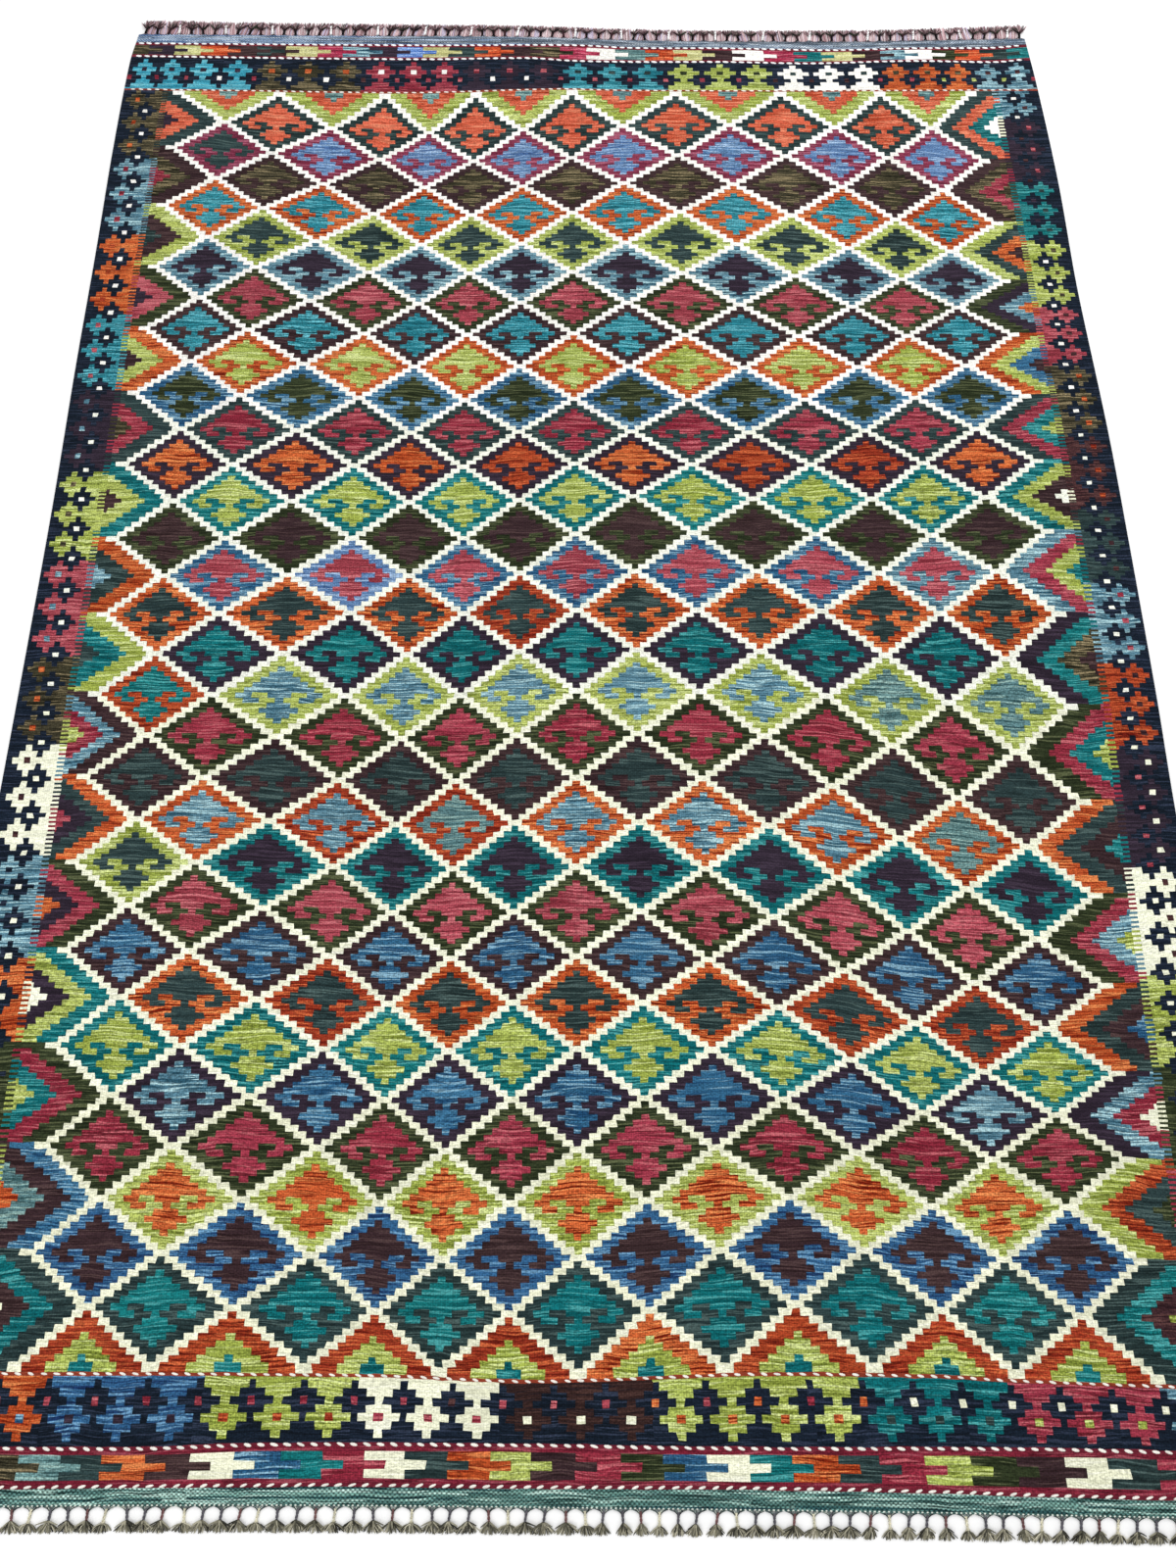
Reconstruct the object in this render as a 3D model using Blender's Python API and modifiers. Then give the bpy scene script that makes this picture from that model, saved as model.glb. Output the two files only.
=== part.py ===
"""Kilim rug laid flat: one flat-woven wool cloth with a knotted fringe along each end.

The cloth runs along Y, with its far end at +Y, and the whole rug rests on the floor at Z = 0.
The origin is the middle of the floor area that the rug and its fringes cover.
"""

import random
from collections import namedtuple
from math import radians, tan

import bmesh
import bpy
from mathutils import Matrix, Vector

# Driving dimensions, in metres.
CLOTH_WIDTH = 2.03
CLOTH_LENGTH = 2.94
CLOTH_THICKNESS = 0.003
PARTING_GAP = 0.0003  # between the cloth's end and the strip that holds a fringe

TASSELS_PER_END = 76
STRIP_DEPTH = 0.004  # the last, loose rows of weft that the tassels hang from
ROOT_WIDTH = 0.011  # where the warps of one tassel gather at the strip
TASSEL_CLEARANCE = 0.0012  # kept between the tufts of neighbouring tassels
ROOT_STRAY = 0.0016  # how far a tassel sits from its even place
GRID_COLUMNS, GRID_ROWS = 32, 18  # faces across and along the cloth

NEAR, FAR = -1, 1  # which way an end of the cloth faces along Y

# How far each edge of the cloth strays outwards from a straight line, read along the edge.
# The ends run from the left (-1) to the right (1), the sides from the near end (-1) to the far end (1).
Stray = namedtuple("Stray", "along outward")
FAR_EDGE = [
    Stray(-1.00, 0.016), Stray(-0.60, 0.008), Stray(-0.12, 0.000), Stray(0.15, -0.014),
    Stray(0.60, -0.021), Stray(0.80, -0.018), Stray(1.00, -0.014),
]
NEAR_EDGE = [
    Stray(-1.00, -0.012), Stray(-0.44, -0.010), Stray(0.00, -0.003),
    Stray(0.45, 0.006), Stray(0.80, 0.015), Stray(1.00, 0.018),
]
LEFT_EDGE = [
    Stray(-1.00, -0.001), Stray(-0.55, 0.002), Stray(-0.20, -0.001), Stray(0.12, -0.001),
    Stray(0.35, 0.004), Stray(0.55, 0.006), Stray(0.75, 0.010), Stray(0.94, 0.008), Stray(1.00, -0.001),
]
RIGHT_EDGE = [
    Stray(-1.00, -0.001), Stray(-0.60, -0.003), Stray(-0.27, -0.006), Stray(-0.12, 0.001),
    Stray(0.07, 0.007), Stray(0.24, 0.010), Stray(0.51, 0.006), Stray(0.72, 0.011),
    Stray(0.91, 0.006), Stray(1.00, 0.000),
]

# A tassel's sections outwards from the strip: a plied leg and a knot, then a cut tuft that spreads like
# a small broom, whose half widths here are shares of the spread that each tuft gets.
Section = namedtuple("Section", "run half_width height")
Fringe = namedtuple("Fringe", "name end seed lean_degrees stray_degrees leg_and_knot tuft spreads")
FRINGES = [
    Fringe(
        "fringe_near", NEAR, 11, -4, 9,
        [Section(0.0050, 0.0018, 0.0030), Section(0.0140, 0.0016, 0.0028), Section(0.0165, 0.0026, 0.0044)],
        [Section(0.0262, 1.00, 0.0026), Section(0.0292, 0.72, 0.0014)],
        (0.0050, 0.0118),
    ),
    Fringe(
        "fringe_far", FAR, 23, 3, 12,
        [Section(0.0045, 0.0020, 0.0030), Section(0.0130, 0.0018, 0.0030), Section(0.0160, 0.0028, 0.0046)],
        [Section(0.0295, 1.00, 0.0028), Section(0.0328, 0.74, 0.0016)],
        (0.0085, 0.0122),
    ),
]

WOOL_ROUGHNESS = 0.95


def smooth_read(rows, along):
    """Reads a smooth curve through rows of (along, outward) at one place along the edge."""
    last = len(rows) - 1
    left = max((k for k in range(last) if rows[k].along <= along), default=0)

    def slope(k):
        before, after = rows[max(k - 1, 0)], rows[min(k + 1, last)]
        return (after.outward - before.outward) / (after.along - before.along)

    step = rows[left + 1].along - rows[left].along
    t = (along - rows[left].along) / step
    return (
        (2 * t**3 - 3 * t**2 + 1) * rows[left].outward
        + (t**3 - 2 * t**2 + t) * step * slope(left)
        + (3 * t**2 - 2 * t**3) * rows[left + 1].outward
        + (t**3 - t**2) * step * slope(left + 1)
    )


def cloth_point(across, along):
    """The cloth's point at -1 to 1 across and -1 to 1 along, with each edge straying as the real one does."""
    side = smooth_read(RIGHT_EDGE if across > 0 else LEFT_EDGE, along)
    end = smooth_read(FAR_EDGE if along > 0 else NEAR_EDGE, across)
    return Vector((across * (CLOTH_WIDTH / 2 + side), along * (CLOTH_LENGTH / 2 + end), 0))


def end_point(across, end):
    """A point on the cloth's end, on the straight run between two columns of its grid."""
    column = (across + 1) / 2 * GRID_COLUMNS
    left = min(int(column), GRID_COLUMNS - 1)
    start, stop = (cloth_point(2 * k / GRID_COLUMNS - 1, end) for k in (left, left + 1))
    return start.lerp(stop, column - left)


def wool(name, colour):
    """A matt wool material of one colour."""
    material = bpy.data.materials.new(name)
    material.use_nodes = True
    surface = material.node_tree.nodes["Principled BSDF"]
    surface.inputs["Base Color"].default_value = (*colour, 1)
    surface.inputs["Roughness"].default_value = WOOL_ROUGHNESS
    surface.inputs["Metallic"].default_value = 0
    return material


def add_object(name, bm, material, collection):
    """Turns a bmesh into a named object with its material."""
    mesh = bpy.data.meshes.new(name)
    bm.to_mesh(mesh)
    bm.free()
    mesh.materials.append(material)
    obj = bpy.data.objects.new(name, mesh)
    collection.objects.link(obj)
    return obj


def make_cloth(collection):
    """The flat-woven cloth: a grid bent to the uneven outline and given the weave's thickness."""
    bm = bmesh.new()
    bmesh.ops.create_grid(bm, x_segments=GRID_COLUMNS, y_segments=GRID_ROWS, size=1)
    for vert in bm.verts:
        vert.co = cloth_point(vert.co.x, vert.co.y)
    cloth = add_object("rug", bm, wool("Flat-woven wool", (0.10, 0.07, 0.09)), collection)
    weave = cloth.modifiers.new("Weave thickness", "SOLIDIFY")
    weave.thickness = CLOTH_THICKNESS
    weave.offset = 1
    return cloth


def make_strip(end, roots):
    """The narrow strip beside the cloth's end, with an outer face for each tassel's root."""
    half_root = ROOT_WIDTH / CLOTH_WIDTH
    stations = [-1.0, *(root + side * half_root for root in roots for side in (-1, 1)), 1.0]
    columns = len(stations) - 1
    bm = bmesh.new()
    bmesh.ops.create_grid(bm, x_segments=columns, y_segments=1, size=1)
    for vert in bm.verts:
        across = stations[round((vert.co.x + 1) / 2 * columns)]
        is_outer = vert.co.y * end > 0
        vert.co = end_point(across, end)
        vert.co.y += end * (PARTING_GAP + is_outer * STRIP_DEPTH)
    raised = bmesh.ops.extrude_face_region(bm, geom=bm.faces[:], use_keep_orig=True)["geom"]
    top = [item for item in raised if isinstance(item, bmesh.types.BMVert)]
    bmesh.ops.translate(bm, verts=top, vec=(0, 0, CLOTH_THICKNESS))
    bmesh.ops.recalc_face_normals(bm, faces=bm.faces)
    return bm


def root_faces(bm, end):
    """The outer faces that tassels grow from, left to right: every second one along the strip."""
    outer = [face for face in bm.faces if face.normal.y * end > 0.9]
    outer.sort(key=lambda face: face.calc_center_median().x)
    return outer[1::2]


def grow(bm, face, place, section):
    """Extrudes a strand's end face to its next section, which lies level on the floor."""
    face = bmesh.ops.extrude_discrete_faces(bm, faces=[face])["faces"][0]
    middle = face.calc_center_median()
    for vert in face.verts:
        side = 1 if vert.co.x > middle.x else -1
        height = section.height if vert.co.z > middle.z else 0
        vert.co = (place.x + side * section.half_width, place.y, height)
    return face


def make_fringe(fringe, collection, material):
    """A strip with a row of four-sided tassels, whose tufts spread as far as their neighbours leave room."""
    chance = random.Random(fringe.seed)
    pitch = 2 / TASSELS_PER_END
    stray = ROOT_STRAY / (CLOTH_WIDTH / 2)
    roots = [-1 + (k + 0.5) * pitch + chance.uniform(-stray, stray) for k in range(TASSELS_PER_END)]
    leans = [tan(radians(fringe.lean_degrees + chance.uniform(-1, 1) * fringe.stray_degrees)) for _ in roots]
    wishes = [chance.uniform(*fringe.spreads) for _ in roots]

    def place(k, run):
        base = end_point(roots[k], fringe.end)
        outward = PARTING_GAP + STRIP_DEPTH + run
        return Vector((base.x + leans[k] * run, base.y + fringe.end * outward, 0))

    tips = [place(k, fringe.tuft[0].run).x for k in range(TASSELS_PER_END)]
    rooms = [(right - left - TASSEL_CLEARANCE) / 2 for left, right in zip(tips, tips[1:])]
    bm = make_strip(fringe.end, roots)
    for k, face in enumerate(root_faces(bm, fringe.end)):
        spread = min(wishes[k], *rooms[max(k - 1, 0):k + 1])
        tuft = [section._replace(half_width=section.half_width * spread) for section in fringe.tuft]
        for section in (*fringe.leg_and_knot, *tuft):
            face = grow(bm, face, place(k, section.run), section)
    return add_object(fringe.name, bm, material, collection)


def centre_on_floor(objects):
    """Shifts the meshes so that the origin is the middle of the floor area that they cover."""
    points = [vert.co for obj in objects for vert in obj.data.vertices]
    low = Vector((min(p.x for p in points), min(p.y for p in points), 0))
    high = Vector((max(p.x for p in points), max(p.y for p in points), 0))
    for obj in objects:
        obj.data.transform(Matrix.Translation(-(low + high) / 2))


def main():
    for obj in list(bpy.data.objects):
        bpy.data.objects.remove(obj)
    collection = bpy.data.collections.new("kilim_rug")
    bpy.context.scene.collection.children.link(collection)
    yarns = {
        "fringe_near": wool("Olive-grey wool warps", (0.17, 0.16, 0.12)),
        "fringe_far": wool("Mauve-brown wool warps", (0.22, 0.13, 0.14)),
    }
    pieces = [make_cloth(collection)]
    pieces += [make_fringe(fringe, collection, yarns[fringe.name]) for fringe in FRINGES]
    centre_on_floor(pieces)


if __name__ == "__main__":
    main()
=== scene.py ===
"""Kilim rug laid flat: the woven cloth with its charted pattern, twined cords and knotted fringes.

The cloth's pattern is real cells of a mesh, one for each step of the weaver's chart, so that every
step has its place in the weave. Wool texture, streaks of uneven dye and ribs come from the materials,
which also paint light and shade into the wool's colour: on ribs and wefts, on the dots of the plain
ends, and in the slits.
"""

import logging
import random
from bisect import bisect_left, bisect_right
from collections.abc import Callable, Sequence
from dataclasses import dataclass, field, replace
from enum import Enum, IntEnum
from functools import cache, partial
from math import atan2, cos, exp, pi, radians, sin, tan

import bmesh
import bpy
import numpy as np
from mathutils import Matrix, Vector, noise

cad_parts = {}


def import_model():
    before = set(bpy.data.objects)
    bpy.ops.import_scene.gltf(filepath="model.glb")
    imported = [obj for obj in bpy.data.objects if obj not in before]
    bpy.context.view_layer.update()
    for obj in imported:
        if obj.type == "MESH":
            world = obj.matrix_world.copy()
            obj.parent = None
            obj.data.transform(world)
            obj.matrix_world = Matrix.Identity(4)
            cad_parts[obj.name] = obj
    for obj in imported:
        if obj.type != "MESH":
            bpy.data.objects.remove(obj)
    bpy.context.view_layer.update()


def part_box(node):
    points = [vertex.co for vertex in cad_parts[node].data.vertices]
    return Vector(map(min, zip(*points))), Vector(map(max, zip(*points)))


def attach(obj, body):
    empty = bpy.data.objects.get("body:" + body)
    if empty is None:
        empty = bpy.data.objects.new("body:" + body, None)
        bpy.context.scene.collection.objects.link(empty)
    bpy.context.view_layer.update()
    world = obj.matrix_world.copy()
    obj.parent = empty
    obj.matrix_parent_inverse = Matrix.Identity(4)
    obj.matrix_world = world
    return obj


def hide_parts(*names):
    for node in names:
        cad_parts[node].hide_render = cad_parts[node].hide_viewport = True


log = logging.getLogger("kilim")

MM = 0.001
Points = Sequence[tuple[float, float]]


def linear_colour(code: str) -> tuple[float, float, float]:
    """Turns an sRGB hex code into linear light.

    Args:
        code: the colour as "#rrggbb".

    Returns:
        Red, green and blue in linear light.
    """
    parts = [int(code[k : k + 2], 16) / 255 for k in (1, 3, 5)]
    return tuple(p / 12.92 if p <= 0.04045 else ((p + 0.055) / 1.055) ** 2.4 for p in parts)


def smooth_read(points: Points, at: float) -> float:
    """Reads a smooth curve through points.

    Args:
        points: (place, value) pairs in order of place.
        at: the place to read, held to the ends of the curve.

    Returns:
        The curve's value there.
    """
    last = len(points) - 1
    at = min(max(at, points[0][0]), points[last][0])
    left = max((k for k in range(last) if points[k][0] <= at), default=0)

    def slope(k: int) -> float:
        """The curve's slope at one of its points."""
        before, after = points[max(k - 1, 0)], points[min(k + 1, last)]
        return (after[1] - before[1]) / (after[0] - before[0])

    step = points[left + 1][0] - points[left][0]
    t = (at - points[left][0]) / step
    return (
        (2 * t**3 - 3 * t**2 + 1) * points[left][1]
        + (t**3 - 2 * t**2 + t) * step * slope(left)
        + (3 * t**2 - 2 * t**3) * points[left + 1][1]
        + (t**3 - t**2) * step * slope(left + 1)
    )


def straight_read(points: Points, at: float) -> float:
    """Reads a broken line through points, held to its ends.

    Args:
        points: (place, value) pairs in order of place.
        at: the place to read.

    Returns:
        The line's value there.
    """
    return float(np.interp(at, [p[0] for p in points], [p[1] for p in points]))


# ---- Wool ----


class Wool(Enum):
    """The dyed wools: the shades of their lots, their dark and light streaks, and how streaky they are, which
    also sets how strongly the painted light and shade of their wefts and ribs shows.
    """

    NAVY = (("#141e2b", "#16202e"), "#0b121b", "#323b4f", 0.8)
    IVORY = (("#edeed2", "#eaebce"), "#cdcfb2", "#f8f8e8", 0.6)
    CREAM = (("#f5f6dc", "#f2f4d9"), "#d6d8bf", "#fbfbf0", 0.6)
    MILK = (("#f8faec", "#f5f8e8"), "#dcdfcf", "#fefef8", 0.6)
    WHITE = (("#fcfaf5", "#f9f7ef"), "#e0dfd6", "#ffffff", 0.6)
    ORANGE = (("#bd562d", "#b14c25", "#c56033"), "#6c1506", "#e2884f", 1.0)
    RUST = (("#9a3822", "#a14023"), "#60140b", "#cc663c", 1.0)
    LIME = (("#a3b157", "#abb75f", "#9aa84b"), "#6f7c2d", "#d0db92", 1.0)
    TEAL = (("#0d686d", "#0b6267", "#147072"), "#02464a", "#4fa4a4", 0.9)
    TURQUOISE = (("#297c8b", "#308492"), "#0b4f5b", "#66b6c3", 1.0)
    SLATE = (("#293a3b", "#2c3e3f", "#253535"), "#111d1e", "#566b68", 0.7)
    GREEN = (("#2b331f", "#2f3723"), "#12190c", "#666d4b", 0.75)
    CRIMSON = (("#8f2e3e", "#973546", "#862738"), "#5b1922", "#c0656d", 0.9)
    PINK = (("#9b404b", "#a44652", "#923a46"), "#6c212b", "#cd757b", 0.9)
    AUBERGINE = (("#2c232f", "#2f2632"), "#1a151c", "#4c3f50", 0.55)
    BROWN = (("#37262a", "#3b2a2c"), "#1e1011", "#5c4746", 0.65)
    UMBER = (("#33211f",), "#20191e", "#4c342f", 0.8)
    BLUE = (("#2f5f80", "#38698a", "#2b587a"), "#1a4164", "#82aabf", 1.0)
    SKY = (("#5f80aa", "#5a7ea6"), "#385788", "#a4bfdc", 1.0)
    DEEP_BLUE = (("#2c567e", "#305c84"), "#162d56", "#6d9bbd", 1.0)
    STEEL = (("#5d8596", "#557e90"), "#234a5c", "#aed2d8", 1.0)
    SEA = (("#5a7e82", "#648888"), "#2f4f52", "#93b3ac", 1.0)
    OLIVE = (("#403c2d", "#3b3828"), "#1c1b11", "#8d7f60", 1.0)
    MAROON = (("#3c2529", "#44292b"), "#241319", "#60403e", 0.9)
    NEAR_END = (("#4b6f6a", "#476a66"), "#17302f", "#9bbcb2", 1.0)
    NEAR_DARK = (("#27494b", "#25474f"), "#0f2226", "#6f9a93", 1.0)
    NEAR_PALE = (("#6d958c", "#688f86"), "#25464a", "#b4d0c6", 1.0)
    FAR_END = (("#778fb0", "#7189aa"), "#34517e", "#b9cae0", 1.0)
    FAR_MIDDLE = (("#7e8d9e", "#778799"), "#374a60", "#bdc7d2", 1.0)
    FAR_RIGHT = (("#616b78", "#5b6672"), "#2c3442", "#9da7b1", 1.0)
    AZURE = (("#668ccc", "#5f86c6"), "#2a58b0", "#a6c2ee", 1.0)
    AQUA = (("#3d9cb4", "#45a2b9"), "#1c6e84", "#7cc6d2", 0.9)
    GARNET = (("#7a2334", "#741f30"), "#4c131f", "#a2505c", 0.8)
    STRAW = (("#c1c280", "#c6c488"), "#8c8a50", "#e4e4b6", 0.9)
    FLAME = (("#cc5430", "#c44e2a"), "#86260f", "#ee8c5e", 1.0)
    EMBER = (("#ca5d43", "#c5573d", "#cf6148"), "#973319", "#ea9271", 0.9)
    WINE = (("#80334a", "#7b2e44"), "#581a2d", "#b4687e", 0.9)
    ROSE = (("#a42c4a", "#ac3350"), "#661529", "#cf6a7e", 1.0)
    CORD_RED = (("#6f2431",), "#4a1520", "#903c48", 0.6)
    CORD_ORANGE = (("#8e3c2a",), "#6a2418", "#ad5a40", 0.6)

    @classmethod
    def named(cls, name: str) -> "Wool":
        """The wool that a table of the chart names."""
        return cls[name.upper()]


PLAIN_ENDS = (Wool.NEAR_END, Wool.NEAR_DARK, Wool.NEAR_PALE, Wool.FAR_END, Wool.FAR_MIDDLE, Wool.FAR_RIGHT)
PALE_WOOLS = {Wool.IVORY: -0.9, Wool.CREAM: -0.2, Wool.MILK: 0.4, Wool.WHITE: 2.0}  # each up to a level


class Lots(IntEnum):
    """Where each part of the chart starts to number its lots of yarn, so that no two parts share one."""

    MOTIF = 2000
    CHEVRON = 5000
    FLOWER = 7000
    STRIP = 8000
    PLAIN = 8100
    ARROW = 8200
    BORDER = 9000


@dataclass(frozen=True)
class Cell:
    """One step of the chart: its wool, the lot it was woven from, and the wool of comb teeth in it."""

    wool: Wool
    lot: int = 0
    tooth: Wool | None = None


class Dyer:
    """Gives each lot of wool its own shade, the same on every run."""

    LOT_SPREAD = 0.06  # how far a lot's brightness strays from its wool's
    ROW_SPREAD = 0.10  # and how far a row's does within the lot
    BEADS_PLAIN, BEADS_WOVEN = 0.8, 0.1  # how strongly painted light and shade shows the wefts as beads, in lighter and darker dots; in the pale wools not at all

    def __init__(self) -> None:
        """Starts with no lot dyed."""
        self.dyed: dict[tuple[Wool, int], tuple] = {}

    def shade(self, wool: Wool, lot: int) -> tuple:
        """Dyes one lot.

        Args:
            wool: the wool to dye.
            lot: the lot's number, which settles its shade.

        Returns:
            The lot's main, dark and light colours, the streaks' strength, which also sets how strongly the
            painted light and shade of wefts and ribs shows, and the lot's random number.
        """
        key = (wool, lot)
        if key not in self.dyed:
            mains, dark, light_streak, strength = wool.value
            chance = random.Random(lot * 101 + sum(map(ord, wool.name)))
            main = linear_colour(chance.choice(mains))
            light = 1 + chance.uniform(-1, 1) * self.LOT_SPREAD
            self.dyed[key] = (
                tuple(c * light for c in main),
                linear_colour(dark),
                linear_colour(light_streak),
                strength * chance.uniform(0.8, 1.0),
                chance.random(),
            )
        return self.dyed[key]

    def corner_values(self, cell: Cell, row: int) -> tuple[float, ...]:
        """The numbers that a cell's corners carry for the materials.

        Args:
            cell: the chart's cell.
            row: the row it is woven in, which strays a little in brightness.

        Returns:
            Main colour and lot, dark colour and strength of streaks and of painted weft and rib shade, light
            colour and how strongly the painted light and shade of the weft dots shows, tooth colour and mask.
        """
        main, dark, light, strength, number = self.shade(cell.wool, cell.lot)
        stray = 1 + self.ROW_SPREAD * (2 * random.Random(cell.lot * 977 + row).random() - 1)
        tooth = (0.0, 0.0, 0.0, 0.0)
        if cell.tooth:
            tooth = (*self.shade(cell.tooth, cell.lot)[0], 1.0)
        # How strongly painted light and shade dots the wefts; in the pale wools not at all.
        bead_painted_light = 0.0 if cell.wool in PALE_WOOLS else self.BEADS_WOVEN
        if cell.wool in PLAIN_ENDS:
            bead_painted_light = self.BEADS_PLAIN
        return (*(c * stray for c in main), number, *dark, strength, *light, bead_painted_light, *tooth)


# ---- Outline and lie of the weave ----


@dataclass(frozen=True)
class Outline:
    """The cloth's uneven outline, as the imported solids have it, in metres."""

    width: float = 2.03
    length: float = 2.94
    thickness: float = 0.003
    columns: int = 32
    rows: int = 18
    # How far each edge strays outwards, read from -1 to 1 along it.
    far: Points = (
        (-1.00, 0.016), (-0.60, 0.008), (-0.12, 0.000), (0.15, -0.014), (0.60, -0.021), (0.80, -0.018),
        (1.00, -0.014),
    )
    near: Points = (
        (-1.00, -0.012), (-0.44, -0.010), (0.00, -0.003), (0.45, 0.006), (0.80, 0.015), (1.00, 0.018),
    )
    left: Points = (
        (-1.00, -0.001), (-0.55, 0.002), (-0.20, -0.001), (0.12, -0.001), (0.35, 0.004), (0.55, 0.006),
        (0.75, 0.010), (0.94, 0.008), (1.00, -0.001),
    )
    right: Points = (
        (-1.00, -0.001), (-0.60, -0.003), (-0.27, -0.006), (-0.12, 0.001), (0.07, 0.007), (0.24, 0.010),
        (0.51, 0.006), (0.72, 0.011), (0.91, 0.006), (1.00, 0.000),
    )

    def point(self, across: float, along: float) -> Vector:
        """The cloth's point at -1 to 1 across and -1 to 1 along."""
        side = smooth_read(self.right if across > 0 else self.left, along)
        end = smooth_read(self.far if along > 0 else self.near, across)
        return Vector((across * (self.width / 2 + side), along * (self.length / 2 + end), 0))

    def end_point(self, across: float, end: int) -> Vector:
        """A point on the cloth's end, on the straight run between two columns of the solid's grid."""
        column = (across + 1) / 2 * self.columns
        left = min(int(column), self.columns - 1)
        start, stop = (self.point(2 * k / self.columns - 1, end) for k in (left, left + 1))
        return start.lerp(stop, column - left)

    def end_level(self, x: float, end: int) -> float:
        """The Y of the cloth's end at one X."""
        return end * (self.length / 2 + smooth_read(self.far if end > 0 else self.near, x / (self.width / 2)))

    def frame_shift(self) -> Vector:
        """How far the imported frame's origin lies from this outline's own middle."""
        low = min(self.point(-1, 2 * k / self.rows - 1).x for k in range(self.rows + 1))
        bottom = min(self.point(2 * k / self.columns - 1, -1).y for k in range(self.columns + 1))
        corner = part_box("rug")[0]
        return Vector((corner[0] - low, corner[1] - bottom, 0))


# The rows of the chart droop and rise across the loom. Places across are in millimetres from the middle.
FAR_END_CORD = ((-1010, 1457), (-700, 1451), (-350, 1445), (-23, 1443), (117, 1433), (330, 1430),
                (563, 1422), (750, 1427), (937, 1427), (1010, 1435))
FAR_MIDDLE_CORD = ((-1010, 1416), (-700, 1407), (-350, 1400), (-117, 1402), (-23, 1393), (117, 1388),
                   (330, 1386), (517, 1380), (750, 1386), (937, 1381), (1000, 1388))
FAR_FIELD_CORD = ((-1010, 1311), (-750, 1304), (-517, 1297), (-350, 1295), (-50, 1304), (80, 1299),
                  (330, 1295), (700, 1293), (1010, 1293))
NEAR_FIELD_CORD = ((-1010, -1288), (-830, -1290), (-600, -1292), (-460, -1294), (-300, -1297), (-100, -1306),
                   (40, -1304), (240, -1299), (500, -1304), (600, -1310), (832, -1320), (1010, -1327))
NEAR_MIDDLE_CORD = ((-1010, -1383), (-660, -1388), (-460, -1384), (-80, -1388), (80, -1392), (260, -1395),
                    (600, -1398), (820, -1404), (1010, -1411))
NEAR_END_CORD = ((-1010, -1435), (-380, -1435), (-80, -1440), (240, -1444), (480, -1450), (640, -1456),
                 (812, -1461), (1010, -1467))

DROOP_ACROSS = (-893, -456, -14, 320, 645, 880)
# How far a row of diamonds strays from its level at those places across, in millimetres, for every
# second row from the far end.
DROOP = {
    2: (21, -12, -16, -14, -18, -33),
    4: (28, 0, -3, -6, -24, -38),
    6: (24, 6, 3, -6, -22, -29),
    8: (22, 6, 2, -7, -10, -8),
    10: (20, 5, -2, -8, -4, -2),
    12: (10, 4, 3, -2, 0, 3),
    14: (1, 0, 4, 3, -4, 1),
    16: (-2, 0, 1, -2, -12, -18),
    18: (0, -6, 0, -8, -29, -40),
    20: (4, -5, -5, -14, -48, -57),
    22: (11, 1, -4, -16, -47, -57),
    24: (18, 6, 1, -14, -46, -51),
    26: (15, 7, 2, -6, -37, -44),
    28: (13, 7, 0, 0, -22, -30),
    30: (11, 4, -4, 8, -12, -20),
}
ROW_LEVELS = ((0, 1290), (3, 1023), (4, 937), (5, 851), (7, 690), (16, -31), (22, -520), (24, -679),
              (27, -907), (31, -1211), (32, -1291))  # the middle of each row of diamonds
ROW_PITCH = ((0, 225), (3, 223), (7, 221), (12, 222), (15, 220), (18, 216.5), (24, 211.3), (28, 209.3),
             (32, 208))  # a diamond's width in each row
COLUMN_DRIFT = ((-4, 5), (-3.5, -2), (-3, -5), (-2.5, 4), (-2, 10), (-1.5, 6), (-1, -1), (-0.5, -4), (0, -6),
                (0.5, -5), (1, -1), (1.5, 3), (2, 8), (2.5, 10), (3, 6), (3.5, 6), (4, 2))
LATTICE_MIDDLE = -14.0  # millimetres from the cloth's middle


@dataclass(frozen=True)
class Pull:
    """A place where the beating of the wefts pulled the lattice aside, in millimetres.

    It is strongest at its middle and fades like a bell: how far to the right, and how much nearer.
    """

    x: float
    y: float
    reach_x: float
    reach_y: float
    right: float = 0.0
    nearer: float = 0.0

    def share(self, x: float, y: float) -> float:
        """How much of the pull is felt at one place, both in metres."""
        return exp(-0.5 * (((x / MM - self.x) / self.reach_x) ** 2 + ((y / MM - self.y) / self.reach_y) ** 2))


PULLS = (
    Pull(-620, 1290, 210, 220, right=20),
    Pull(880, 1290, 90, 150, right=-17),
    Pull(-330, -40, 190, 190, right=11),
    Pull(-800, 230, 150, 130, right=5),
    Pull(-860, -560, 170, 220, right=-9),
    Pull(830, -400, 150, 330, right=6),
    Pull(560, 900, 150, 180, right=6),
    Pull(50, 1050, 90, 250, right=-4),
    Pull(650, 260, 110, 120, right=-4),
    Pull(-300, 1230, 220, 90, nearer=18),
    Pull(640, 1230, 150, 90, nearer=10),
    Pull(-260, -200, 110, 900, nearer=6),
    Pull(120, 1010, 130, 100, nearer=-7),
    Pull(-690, 810, 90, 150, nearer=-7),
    Pull(510, -800, 100, 270, nearer=7),
    Pull(820, -560, 100, 130, nearer=7),
    Pull(760, -1010, 110, 80, nearer=-8),
    Pull(820, 50, 90, 70, nearer=-7),
    Pull(90, 200, 100, 60, nearer=-6),
    Pull(-660, -620, 110, 170, nearer=-4),
)

# Where each side border meets the field: the X at each Y, in millimetres.
LEFT_BORDER_LINE = ((-1300, -900), (-900, -905), (-700, -906), (-600, -909), (-400, -910), (-200, -914),
                    (0, -914.5), (200, -916), (450, -919), (600, -923), (950, -923), (1300, -925))
RIGHT_BORDER_LINE = ((-1300, 880), (-950, 886), (-850, 890), (-600, 897.5), (-400, 907), (-200, 917),
                     (-100, 920.5), (0, 921.5), (200, 924), (450, 925), (550, 921), (950, 921), (1300, 919))


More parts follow.
